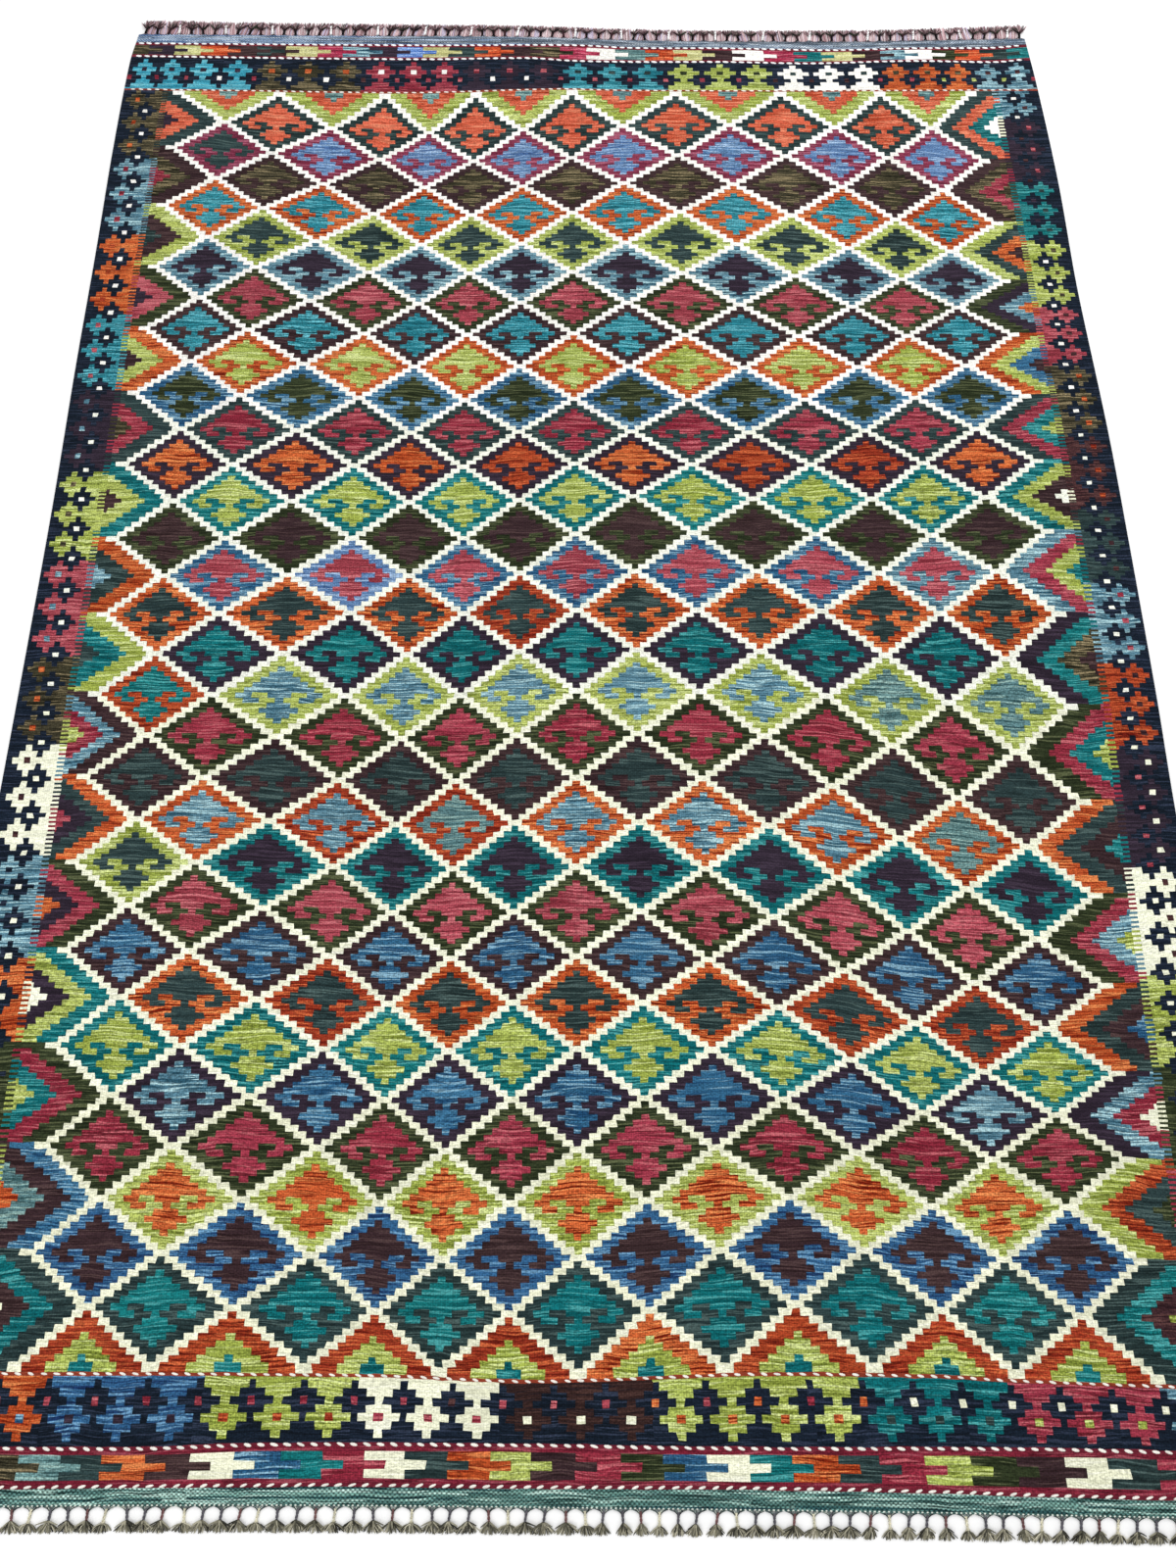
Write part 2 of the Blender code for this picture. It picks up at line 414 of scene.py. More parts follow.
@dataclass(eq=False)
class Weave:
    """Where each line of the chart lies on the floor.

    Across, the chart runs in diamond widths: the lattice lies within 4 of its middle, plain margins
    with chevrons reach to 4.5, and the side borders to 5, the cloth's edge. Along, it runs in metres
    from the middle, as if no row drooped.
    """

    outline: Outline
    lattice_edge: float = 4.0
    border_start: float = 4.5
    cloth_edge: float = 5.0
    border_lines: tuple[Points, Points] = (LEFT_BORDER_LINE, RIGHT_BORDER_LINE)
    border_width: float = 98 * MM  # as its cells have it; what is left over goes to the outer strip
    border_strip: float = 6 * MM
    far_cords: tuple[float, float, float] = (1.3005, 1.3995, 1.4410)
    near_cords: tuple[float, float, float] = (-1.3020, -1.3915, -1.4430)
    half_cord: float = 2.5 * MM
    held_rows: float = 70 * MM  # next to the cords, over which the pulls fade out
    # Steps are never quite even in handwork: how far they stray, and over what distances.
    uneven_x: float = 3.0 * MM
    uneven_y: float = 1.6 * MM
    uneven_width: float = 19 * MM
    uneven_height: float = 8 * MM
    end_step: float = 101.5  # millimetres between the places where the cloth's ends are read
    search_steps: int = 24
    stations: list[tuple[float, Points]] = field(default_factory=list)

    def __post_init__(self) -> None:
        """Lines up the known levels of the weave from the near end to the far end."""
        across = [k * self.end_step for k in range(-10, 11)]
        ends = {end: [(x, self.outline.end_level(x * MM, end) / MM) for x in across] for end in (-1, 1)}
        half = self.outline.length / 2
        known = list(zip(self.far_cords, (FAR_FIELD_CORD, FAR_MIDDLE_CORD, FAR_END_CORD)))
        known += zip(self.near_cords, (NEAR_FIELD_CORD, NEAR_MIDDLE_CORD, NEAR_END_CORD))
        known += [(half, ends[1]), (-half, ends[-1])]
        self.stations = [(t, [(x * MM, y * MM - t) for x, y in curve]) for t, curve in known]
        for row, droops in DROOP.items():
            curve = [(x * MM, droop * MM) for x, droop in zip(DROOP_ACROSS, droops)]
            self.stations.append((self.row_level(row), curve))
        self.stations.sort(key=lambda station: station[0])
        self.levels = [station[0] for station in self.stations]
        self.level_rows = sorted((y * MM, row) for row, y in ROW_LEVELS)

    def cords(self, end: int) -> tuple[float, float, float]:
        """The levels of one end's cords, from the field outwards, in metres."""
        return self.far_cords if end > 0 else self.near_cords

    def row_level(self, row: float) -> float:
        """The level of a row of diamonds, counted from the far end, in metres."""
        return straight_read(ROW_LEVELS, row) * MM

    @cache
    def pitch_at(self, level: float) -> float:
        """A diamond's width at one level, in metres."""
        return straight_read(ROW_PITCH, straight_read(self.level_rows, level)) * MM

    @cache
    def drift_at(self, across: float) -> float:
        """How far a line of the lattice strays from its even place, in metres."""
        return (LATTICE_MIDDLE + smooth_read(COLUMN_DRIFT, across)) * MM

    @cache
    def sway(self, x: float, level: float) -> float:
        """How far the pulls move the lattice to the right at one place, in metres."""
        return sum(pull.right * pull.share(x, level) for pull in PULLS if pull.right) * MM

    @cache
    def dip(self, x: float, level: float) -> float:
        """How much nearer the pulls bring the field at one place, in metres: not at all at its cords."""
        free = min(self.far_cords[0] - level, level - self.near_cords[0]) / self.held_rows
        return sum(p.nearer * p.share(x, level) for p in PULLS if p.nearer) * MM * min(max(free, 0.0), 1.0)

    @cache
    def side_at(self, side: int, level: float) -> float:
        """The X of the cloth's left or right edge at one level, in metres."""
        edge = self.outline.right if side > 0 else self.outline.left
        stray = smooth_read(edge, level / (self.outline.length / 2))
        return side * (self.outline.width / 2 + stray)

    @cache
    def border_line(self, side: int, level: float) -> float:
        """The X where the left or right border meets the field at one level, in metres."""
        return straight_read(self.border_lines[side > 0], level / MM) * MM

    def x_at(self, across: float, level: float) -> float:
        """The X of a line of the chart at one level, in metres."""
        side, reach = (1 if across > 0 else -1), abs(across)
        held = across if reach <= self.lattice_edge else side * self.lattice_edge
        start = held * self.pitch_at(level) + self.drift_at(held)
        start += self.sway(start, level)
        if reach <= self.lattice_edge:
            return start
        edge = self.side_at(side, level)
        inner = self.border_line(side, level)
        if reach <= self.border_start:
            share = (reach - self.lattice_edge) / (self.border_start - self.lattice_edge)
            return start + (inner - start) * share
        flowers = self.border_width - self.border_strip
        depth = self.border_width * (reach - self.border_start) / (self.cloth_edge - self.border_start)
        if depth <= flowers:
            return inner + side * depth
        rim = inner + side * flowers
        return rim + (edge - rim) * (depth - flowers) / self.border_strip

    def droop(self, x: float, level: float) -> float:
        """How far the weave strays from its level at one X, in metres."""
        above = min(max(bisect_left(self.levels, level), 1), len(self.levels) - 1)
        (low, low_curve), (high, high_curve) = self.stations[above - 1], self.stations[above]
        share = (level - low) / (high - low)
        stray = smooth_read(low_curve, x) * (1 - share) + smooth_read(high_curve, x) * share
        return stray - self.dip(x, level)

    def place(self, across: float, level: float) -> tuple[float, float, float]:
        """The X and Y of a point of the chart, and how far it strays from its level."""
        x = self.x_at(across, level)
        stray = self.droop(x, level)
        if abs(across) == self.cloth_edge or abs(level) == self.outline.length / 2:
            return x, level + stray, stray
        spot = Vector((x / self.uneven_width, level / self.uneven_height, 0))
        sideways, along = noise.noise(spot), noise.noise(spot + Vector((0, 0, 7)))
        return x + sideways * self.uneven_x, level + stray + along * self.uneven_y, stray

    def across_of(self, x: float, level: float) -> float:
        """The chart's place across of an X at one level."""
        low, high = -self.cloth_edge, self.cloth_edge
        for _ in range(self.search_steps):
            middle = (low + high) / 2
            low, high = (middle, high) if self.x_at(middle, level) < x else (low, middle)
        return (low + high) / 2

    def level_of(self, y: float, across: float) -> float:
        """The level whose point at one place across has this Y."""
        high = self.outline.length / 2 - 10 * MM
        low = -high
        for _ in range(self.search_steps):
            middle = (low + high) / 2
            low, high = (middle, high) if self.place(across, middle)[1] < y else (low, middle)
        return (low + high) / 2


# ---- Charts ----


@dataclass(frozen=True)
class DiamondRow:
    """The wools of one row of diamonds: its ground, its hooked motif, and what the ends of the row get."""

    ground: str
    motif: str
    left: str = ""
    right: str = ""
    others: tuple[tuple[int, str, str], ...] = ()  # place in the row, ground and motif

    @staticmethod
    def wools(names: str) -> list[Wool]:
        """The wools named in one string."""
        return [Wool.named(name) for name in names.split()]


# From the far end to the near end. Every second row ends in nested chevrons, named from the diamonds out.
DIAMOND_ROWS = (
    DiamondRow("lime", "ember"),
    DiamondRow("slate", "ember", "slate ember aubergine", "slate ember teal ivory"),
    DiamondRow("wine", "sky", others=((-4, "wine", "slate"),)),
    DiamondRow("brown", "olive", "brown olive crimson", "brown olive crimson olive"),
    DiamondRow("orange", "turquoise"),
    DiamondRow("lime", "slate", "lime brown slate", "lime slate orange brown"),
    DiamondRow("steel", "aubergine"),
    DiamondRow("green", "pink", "green pink aubergine", "green aubergine steel orange"),
    DiamondRow("brown", "turquoise"),
    DiamondRow("orange", "lime", "orange lime brown", "orange lime blue brown"),
    DiamondRow("blue", "green"),
    DiamondRow("slate", "crimson", "slate crimson olive", "slate crimson teal lime"),
    DiamondRow("aubergine", "orange",
               others=((-1, "aubergine", "rust"), (1, "aubergine", "rust"), (2, "aubergine", "rust"))),
    DiamondRow("teal", "lime", "teal lime brown", "teal lime brown ivory"),
    DiamondRow("green", "brown"),
    DiamondRow("blue", "pink", "orange slate steel", "steel crimson lime teal",
               ((-2, "sky", "pink"), (3, "steel", "pink"))),
    DiamondRow("orange", "slate", others=((-1, "rust", "slate"),)),
    DiamondRow("aubergine", "teal", "lime teal slate", "aubergine teal olive brown"),
    DiamondRow("lime", "steel",
               others=((-4, "rust", "teal"), (2, "lime", "sea"), (3, "lime", "sea"))),
    DiamondRow("green", "crimson", "brown steel crimson lime", "green crimson teal lime"),
    DiamondRow("brown", "slate"),
    DiamondRow("orange", "steel", "orange slate aubergine crimson", "orange slate brown teal",
               ((-2, "rust", "steel"), (-1, "rust", "sea"), (3, "orange", "sea"))),
    DiamondRow("teal", "aubergine", others=((-4, "lime", "slate"),)),
    DiamondRow("green", "pink", "green crimson aubergine orange", "green crimson steel lime"),
    DiamondRow("brown", "blue"),
    DiamondRow("orange", "slate", "teal lime aubergine ivory", "orange slate brown blue",
               ((-2, "rust", "slate"), (2, "rust", "slate"), (3, "rust", "slate"))),
    DiamondRow("teal", "lime"),
    DiamondRow("aubergine", "blue", "green crimson teal lime", "aubergine steel crimson ivory",
               ((-3, "aubergine", "steel"), (3, "aubergine", "steel"))),
    DiamondRow("green", "crimson"),
    DiamondRow("lime", "orange", "blue brown sea orange", "lime rust slate green"),
    DiamondRow("deep_blue", "brown"),
    DiamondRow("slate", "teal", "slate teal brown ivory", "slate teal maroon lime"),
    DiamondRow("rust", "lime", others=((0, "orange", "lime"),)),
)

# The hooked motif of a diamond, from its far tip to its near tip. A cell is two warp units wide.
MOTIF = (
    ".....X.....",
    "....XXX....",
    "...XXXXX...",
    "..XXXXXXX..",
    ".XXXXXXXXX.",
    "XX..XXX..XX",
    ".XX..X..XX.",
    "....XXX....",
    "...XXXXX...",
    "....XXX....",
    ".....X.....",
)


@dataclass(eq=False)
class LatticeChart:
    """The field: stepped diamonds between ivory lines, with chevrons where the rows end."""

    weave: Weave
    unit_count: int = 34  # warp units in a diamond's width
    step_rows: int = 8  # chart rows from one row of diamonds to the next
    half_width: int = 15  # warp units from a diamond's middle to its tip; each row away takes off two
    least_chevron: float = 4.5  # warp units
    last_chevron: float = 0.6  # the share of the outermost chevron that shows beside the comb
    margin_columns: int = 12
    last_level: int = 32  # the last row of diamonds
    last_row: int = 256

    def across_lines(self) -> list[float]:
        """Where the field's columns of cells meet, from one side border to the other."""
        edge, start = self.weave.lattice_edge, self.weave.border_start
        margin = [edge + (start - edge) * k / self.margin_columns for k in range(1, self.margin_columns + 1)]
        units = round(2 * edge * self.unit_count)
        lattice = [-edge + k / self.unit_count for k in range(units + 1)]
        return [-m for m in reversed(margin)] + lattice + margin

    @cache
    def along_lines(self) -> list[float]:
        """Where the field's rows of cells meet, from the far end to the near end."""
        rows = [self.weave.row_level((k - 0.5) / self.step_rows) for k in range(1, self.last_row + 1)]
        half_cord = self.weave.half_cord
        return [self.weave.far_cords[0] - half_cord, *rows, self.weave.near_cords[0] + half_cord]

    def cell(self, units: float, row: int) -> Cell:
        """The field's cell at one place.

        Args:
            units: its place across in warp units from the lattice's middle.
            row: its chart row from the far end.

        Returns:
            Its wool and lot.
        """
        limit = self.weave.lattice_edge * self.unit_count
        upper = row // self.step_rows
        for level in (upper, upper + 1):
            offset = row - level * self.step_rows
            shift = 0 if level % 2 else self.unit_count / 2
            place = round((units - shift) / self.unit_count)
            from_middle = units - shift - place * self.unit_count
            if level <= self.last_level and abs(from_middle) < self.half_width - 2 * abs(offset):
                if abs(place * self.unit_count + shift) > limit - 1:
                    break
                return self.diamond(level, place, offset, from_middle)
        if abs(units) < limit - self.half_width + 1:
            return Cell(Wool.IVORY, 1 + int(units // 17) % 7)  # a new lot every 17 warps, seven in turn
        return self.row_end(units, row)

    def diamond(self, level: int, place: int, offset: int, from_middle: float) -> Cell:
        """A cell inside one diamond, from its row, its place in the row, and its place within."""
        wools = DIAMOND_ROWS[level]
        lot = level * 40 + place + 20  # each diamond has its own
        usual = (place, wools.ground, wools.motif)
        _, ground, motif = next((other for other in wools.others if other[0] == place), usual)
        if level in (0, self.last_level):  # half diamonds against the cords: a triangle in a triangle
            depth = 4 - abs(offset)
            if abs(from_middle) < 2 * (depth - 3) + 1 and depth >= 3:
                return Cell(Wool.TEAL if level else Wool.SEA, lot)
            inside = depth >= 0 and abs(from_middle) < 2 * depth + 1
        else:
            reach = len(MOTIF)  # in warp units, since it is as many cells wide as high
            chart_row = offset + reach // 2
            inside = 0 <= chart_row < reach and abs(from_middle) < reach
            inside = inside and MOTIF[chart_row][int((from_middle + reach) // 2)] == "X"
        if inside:
            return Cell(Wool.named(motif), Lots.MOTIF + lot)
        return Cell(Wool.named(ground), lot)

    def row_end(self, units: float, row: int) -> Cell:
        """A cell beyond the last diamonds of a row: the ivory line, or one of the nested chevrons."""
        side = 1 if units > 0 else -1
        limit = self.weave.lattice_edge * self.unit_count
        level = min(2 * (row // (2 * self.step_rows)) + 1, self.last_level - 1)
        offset = abs(row - level * self.step_rows)
        line = limit - self.half_width + 2 * offset + (1 if offset == self.step_rows else 0)
        beyond = abs(units) - line
        if beyond < 0:
            return Cell(Wool.IVORY, 3 + side)
        wools, band = self.chevrons(level, side)
        rank = min(int(beyond / band), len(wools) - 1)
        return Cell(wools[rank], Lots.CHEVRON + level * 20 + rank * 2 + (side > 0))

    @cache
    def chevrons(self, level: int, side: int) -> tuple[list[Wool], float]:
        """The wools of the chevrons at one end of a row of diamonds, and how many units each is wide."""
        wools = DiamondRow.wools(DIAMOND_ROWS[level].right if side > 0 else DIAMOND_ROWS[level].left)
        middle = self.weave.row_level(level)
        inner = abs(self.weave.x_at(side * self.weave.border_start, middle))
        tip = self.weave.lattice_edge - self.half_width / self.unit_count
        start = abs(self.weave.x_at(side * tip, middle))
        pitch = self.weave.pitch_at(middle) / self.unit_count
        shown = len(wools) - 1 + self.last_chevron
        return wools, max((inner - start) / pitch / shown, self.least_chevron)

    def margin_cell(self, across: float, level: float) -> Cell:
        """The cell at a place in the margin, where columns don't keep to warp units."""
        lines = self.along_lines()
        row = min(max(bisect_left(lines, -level, key=lambda line: -line) - 1, 0), self.last_row)
        middle = (lines[row] + lines[row + 1]) / 2
        pitch = self.weave.pitch_at(middle)
        side = 1 if across > 0 else -1
        edge = self.weave.x_at(side * self.weave.lattice_edge, middle)
        units = side * self.weave.lattice_edge * self.unit_count
        units += (self.weave.x_at(across, middle) - edge) / pitch * self.unit_count
        return self.row_end(units, row)


# A flower that stands on a solid base, from the base outwards: C its wool, d its centre, D the dot in
# the navy cross beside it. Side borders have the same flower, turned on its side.
FLOWER = ("CCCCC.", ".CCC..", "..C..D", ".CCC..", "CCdCC.", ".CCC..", "..C...")
FLOWER_CELL = 0.173  # of the way from one flower to the next; the gap between them is narrower


@dataclass(frozen=True)
class Flowers:
    """A run of flowers in one wool: its centres' places, its centre wool and the dots beside it."""

    wool: str
    places: tuple[float, ...]  # in millimetres from the middle
    centre: str
    dot: str


FAR_FLOWERS = (
    Flowers("aqua", (-987, -926, -854, -776), "aubergine", "crimson crimson ivory crimson"),
    Flowers("olive", (-699, -617, -531), "orange", "ivory ivory maroon"),
    Flowers("crimson", (-451, -379, -309), "ivory", "pink crimson pink"),
    Flowers("aubergine", (-237, -162, -85), "pink", "ivory ivory pink"),
    Flowers("turquoise", (-8, 69, 149), "slate", "pink crimson pink"),
    Flowers("lime", (230, 313, 395), "green", "crimson crimson maroon"),
    Flowers("ivory", (477, 557, 637), "slate", "maroon maroon crimson"),
    Flowers("orange", (709, 780, 849), "olive", "crimson lime lime"),
    Flowers("steel", (917, 984), "maroon", "lime crimson"),
)
NEAR_FLOWERS = (
    Flowers("orange", (-968, -895, -822), "blue", "pink pink pink"),
    Flowers("deep_blue", (-751, -681, -605), "aubergine", "pink crimson pink"),
    Flowers("lime", (-530, -453, -379), "rust", "crimson crimson crimson"),
    Flowers("ivory", (-307, -237, -166), "crimson", "crimson maroon pink"),
    Flowers("umber", (-93, -17, 56), "ivory", "pink pink orange"),
    Flowers("lime", (127, 201, 276, 353), "orange", "pink orange crimson orange"),
    Flowers("teal", (428, 498, 569), "slate", "ivory ivory ivory"),
    Flowers("crimson", (640, 711, 788), "lime", "ivory ivory ivory"),
    Flowers("steel", (861, 934, 1001), "crimson", "ivory ivory ivory"),
)


@dataclass
class EndBand:
    """A band across one end of the cloth, between two of its cords or beyond them."""

    weave: Weave
    end: int

    def columns(self, marks: list[float], cord: int) -> list[float]:
        """Where the band's columns of cells meet.

        Args:
            marks: the X of each line between two columns, in metres.
            cord: the cord that the band stands on, counted from the field.

        Returns:
            The lines' places across the chart, from one edge of the cloth to the other.
        """
        level = sum(self.weave.cords(self.end)[cord : cord + 2]) / 2
        edge, sliver = self.weave.cloth_edge, 0.02  # no column at an edge is thinner, in diamond widths
        places = [self.weave.across_of(mark, level) for mark in marks]
        return [-edge, *(place for place in places if abs(place) < edge - sliver), edge]


@dataclass
class FlowerBand(EndBand):
    """A navy band of flowers across one end, standing on the field's cord."""

    runs: tuple[Flowers, ...]
    navy_row: float = 6 * MM
    base_row: float = 3.5 * MM

    def __post_init__(self) -> None:
        """Lines up all flowers from left to right."""
        self.flowers = [(place, run, k) for run in self.runs for k, place in enumerate(run.places)]

    def across_lines(self) -> list[float]:
        """Where the band's columns of cells meet: six cells to a flower."""
        places = [flower[0] for flower in self.flowers]
        places = [2 * places[0] - places[1], *places, 2 * places[-1] - places[-2]]
        ranks = list(range(len(places)))
        marks = [rank + step * FLOWER_CELL for rank in ranks for step in (-2.5, -1.5, -0.5, 0.5, 1.5, 2.5)]
        marks = [float(np.interp(mark, ranks, places)) * MM for mark in marks if 0 <= mark <= ranks[-1]]
        return self.columns(marks, cord=0)

    def along_lines(self) -> list[float]:
        """Where the band's rows of cells meet, from its field cord to its outer cord."""
        cords, half_cord = self.weave.cords(self.end), self.weave.half_cord
        start, stop = abs(cords[0]) - half_cord, abs(cords[1]) - half_cord
        first = start + 2 * half_cord
        row = (stop - first - self.navy_row - self.base_row) / len(FLOWER)
        lines = [start, first, *(first + self.base_row + k * row for k in range(len(FLOWER) + 1)), stop]
        return [self.end * line for line in lines]

    def cell(self, x: float, row: int) -> Cell:
        """The band's cell at one X, in metres, and one row counted from its field cord."""
        if row == 0:
            return Cell(Wool.CORD_ORANGE, 1)
        places = [flower[0] for flower in self.flowers]
        rank = min(range(len(places)), key=lambda k: abs(places[k] - x / MM))
        gaps = [b - a for a, b in zip(places, places[1:])]
        side = x / MM - places[rank]
        gap = gaps[min(max(rank if side > 0 else rank - 1, 0), len(gaps) - 1)]
        step = round(side / gap / FLOWER_CELL) + 2  # 2 is the flower's centre, 5 or -1 the gap beside it
        lot = Lots.FLOWER + rank + (500 if self.end > 0 else 0)
        mark = "C" if row == 1 else "." if row > len(FLOWER) + 1 else FLOWER[row - 2][step % 6]
        run = self.flowers[rank][1]
        if mark == "C":
            return Cell(Wool.named(run.wool), lot)
        if mark == "d":
            return Cell(Wool.named(run.centre), lot)
        if mark == "D":
            _, run, place = self.flowers[rank if step > 2 else max(rank - 1, 0)]
            return Cell(Wool.named(run.dot.split()[place]), lot)
        return Cell(Wool.NAVY, rank // 3)


# The arrows of each end, from the left: where each starts, in millimetres, and its wool.
FAR_ARROWS = (
    (-1045, "olive"), (-985, "aubergine"), (-926, "straw"), (-867, "flame"), (-806, "brown"),
    (-738, "slate"), (-705, "brown"), (-672, "straw"), (-600, "rose"), (-542, "steel"),
    (-482, "aubergine"), (-419, "azure"), (-360, "straw"), (-302, "slate"), (-242, "flame"),
    (-183, "brown"), (-117, "olive"), (-49, "rose"), (12, "ivory"), (77, "sea"),
    (145, "flame"), (210, "straw"), (274, "brown"), (343, "ivory"), (414, "rose"), (482, "teal"),
    (545, "straw"), (615, "brown"), (680, "steel"), (736, "ivory"), (797, "green"), (850, "flame"),
    (906, "slate"), (967, "teal"),
)
NEAR_ARROWS = (
    (-1060, "crimson"), (-1000, "ivory"), (-938, "teal"), (-876, "olive"), (-815, "sea"),
    (-756, "slate"), (-698, "orange"), (-635, "brown"), (-571, "ivory"), (-509, "blue"),
    (-444, "teal"), (-384, "crimson"), (-324, "ivory"), (-267, "slate"), (-206, "orange"),
    (-146, "lime"), (-88, "brown"), (-25, "crimson"), (40, "green"), (100, "blue"), (161, "ivory"),
    (222, "teal"), (283, "orange"), (349, "slate"), (407, "crimson"), (471, "lime"), (535, "green"),
    (601, "brown"), (668, "ivory"), (731, "slate"), (800, "crimson"), (862, "orange"),
    (924, "teal"), (986, "lime"),
)

# The plain ends' wools, from the left: each group up to an X, in metres.
FAR_PLAIN = (
    (-0.45, (Wool.FAR_END, Wool.FAR_END, Wool.FAR_MIDDLE)),
    (-0.05, (Wool.FAR_MIDDLE, Wool.FAR_MIDDLE, Wool.FAR_END, Wool.FAR_RIGHT)),
    (3.0, (Wool.FAR_RIGHT, Wool.FAR_RIGHT, Wool.FAR_MIDDLE)),
)
NEAR_PLAIN = ((3.0, (Wool.NEAR_END, Wool.NEAR_END, Wool.NEAR_DARK, Wool.NEAR_PALE)),)


@dataclass
class ArrowBand(EndBand):
    """The outermost bands of one end: arrows that point right, between cords, and the plain end."""

    arrows: tuple[tuple[float, str], ...]
    strip: float  # the crimson strip on each side of the arrows
    plain: tuple[tuple[float, tuple[Wool, ...]], ...]
    tongue: float = 30.0  # how far an arrow's middle row runs on into the next, in millimetres
    plain_rows: int = 8
    yarn_run: float = 0.4  # how far one lot of yarn goes along a row of the plain end
    far_left: float = 2.0  # where the runs are counted from, beyond the cloth's left edge

    def across_lines(self) -> list[float]:
        """Where the band's columns of cells meet."""
        marks = sorted(place + shift for place, _ in self.arrows for shift in (0, self.tongue))
        return self.columns([mark * MM for mark in marks], cord=1)

    def along_lines(self) -> list[float]:
        """Where the rows of cells meet: cord, strip, three rows of arrows, strip, cord, and the plain end."""
        cords, half_cord = self.weave.cords(self.end), self.weave.half_cord
        inner, outer = abs(cords[1]), abs(cords[2])
        first, last = inner + half_cord + self.strip, outer - half_cord - self.strip
        rows = [first + (last - first) * k / 3 for k in range(4)]
        plain = self.weave.outline.length / 2 - outer - half_cord
        thin = [outer + half_cord + plain * k / self.plain_rows for k in range(1, self.plain_rows + 1)]
        lines = [inner - half_cord, inner + half_cord, *rows, outer - half_cord, outer + half_cord]
        return [self.end * line for line in (*lines, *thin)]

    def cell(self, x: float, row: int) -> Cell:
        """The band's cell at one X, in metres, and one row counted from its inner cord."""
        if row in (0, 6):
            return Cell(Wool.CORD_RED, 2)
        if row in (1, 5):
            return Cell(Wool.GARNET, Lots.STRIP + int(x // 0.3))  # a new lot every 0.3 m
        if row > 6:
            start = random.Random(row).uniform(0, self.yarn_run)
            stretch = int((x + start + self.far_left) // self.yarn_run)
            middle = (stretch + 0.5) * self.yarn_run - start - self.far_left
            wools = next(wools for stop, wools in self.plain if middle < stop)
            return Cell(random.Random(stretch * 31 + row).choice(wools), Lots.PLAIN + stretch)
        shift = self.tongue if row == 3 else 0
        starts = [place + shift for place, _ in self.arrows]
        rank = max(bisect_right(starts, x / MM) - 1, 0)
        return Cell(Wool.named(self.arrows[rank][1]), Lots.ARROW + rank + (100 if self.end > 0 else 0))


@dataclass(frozen=True)
class BorderRun:
    """A run of flowers of one wool in a side border, down to a Y in millimetres."""

    wool: str
    stop: float
    flowers: float = 3
    centre: str = "navy"
    dot: str = "ivory"


LEFT_RUNS = (
    BorderRun("olive", 1100, centre="orange"), BorderRun("steel", 883, centre="crimson"),
    BorderRun("orange", 668, centre="rust"), BorderRun("turquoise", 477, centre="pink"),
    BorderRun("aubergine", 282, centre="steel"), BorderRun("lime", 83, centre="olive"),
    BorderRun("pink", -119, centre="steel"), BorderRun("olive", -292, centre="orange"),
    BorderRun("ivory", -497, centre="maroon"), BorderRun("steel", -675),
    BorderRun("orange", -811, 2), BorderRun("green", -970, centre="lime"),
    BorderRun("lime", -1126, centre="crimson"), BorderRun("crimson", -1290, centre="ivory"),
)
RIGHT_RUNS = (
    BorderRun("steel", 1205, 1.5, centre="maroon"), BorderRun("aubergine", 1016, centre="pink", dot="maroon"),
    BorderRun("teal", 851, centre="slate", dot="aubergine"), BorderRun("lime", 672, centre="olive"),
    BorderRun("pink", 522, centre="maroon"), BorderRun("olive", 350, centre="orange"),
    BorderRun("maroon", 180, centre="rust"), BorderRun("slate", 19, centre="maroon"),
    BorderRun("steel", -147, centre="crimson"), BorderRun("rust", -316, centre="maroon"),
    BorderRun("aubergine", -532, 4, centre="ivory", dot="pink"), BorderRun("ivory", -716, centre="maroon"),
    BorderRun("lime", -865, centre="green"), BorderRun("green", -1021, centre="lime"),
    BorderRun("crimson", -1130, 2, centre="ivory"), BorderRun("blue", -1310),
)


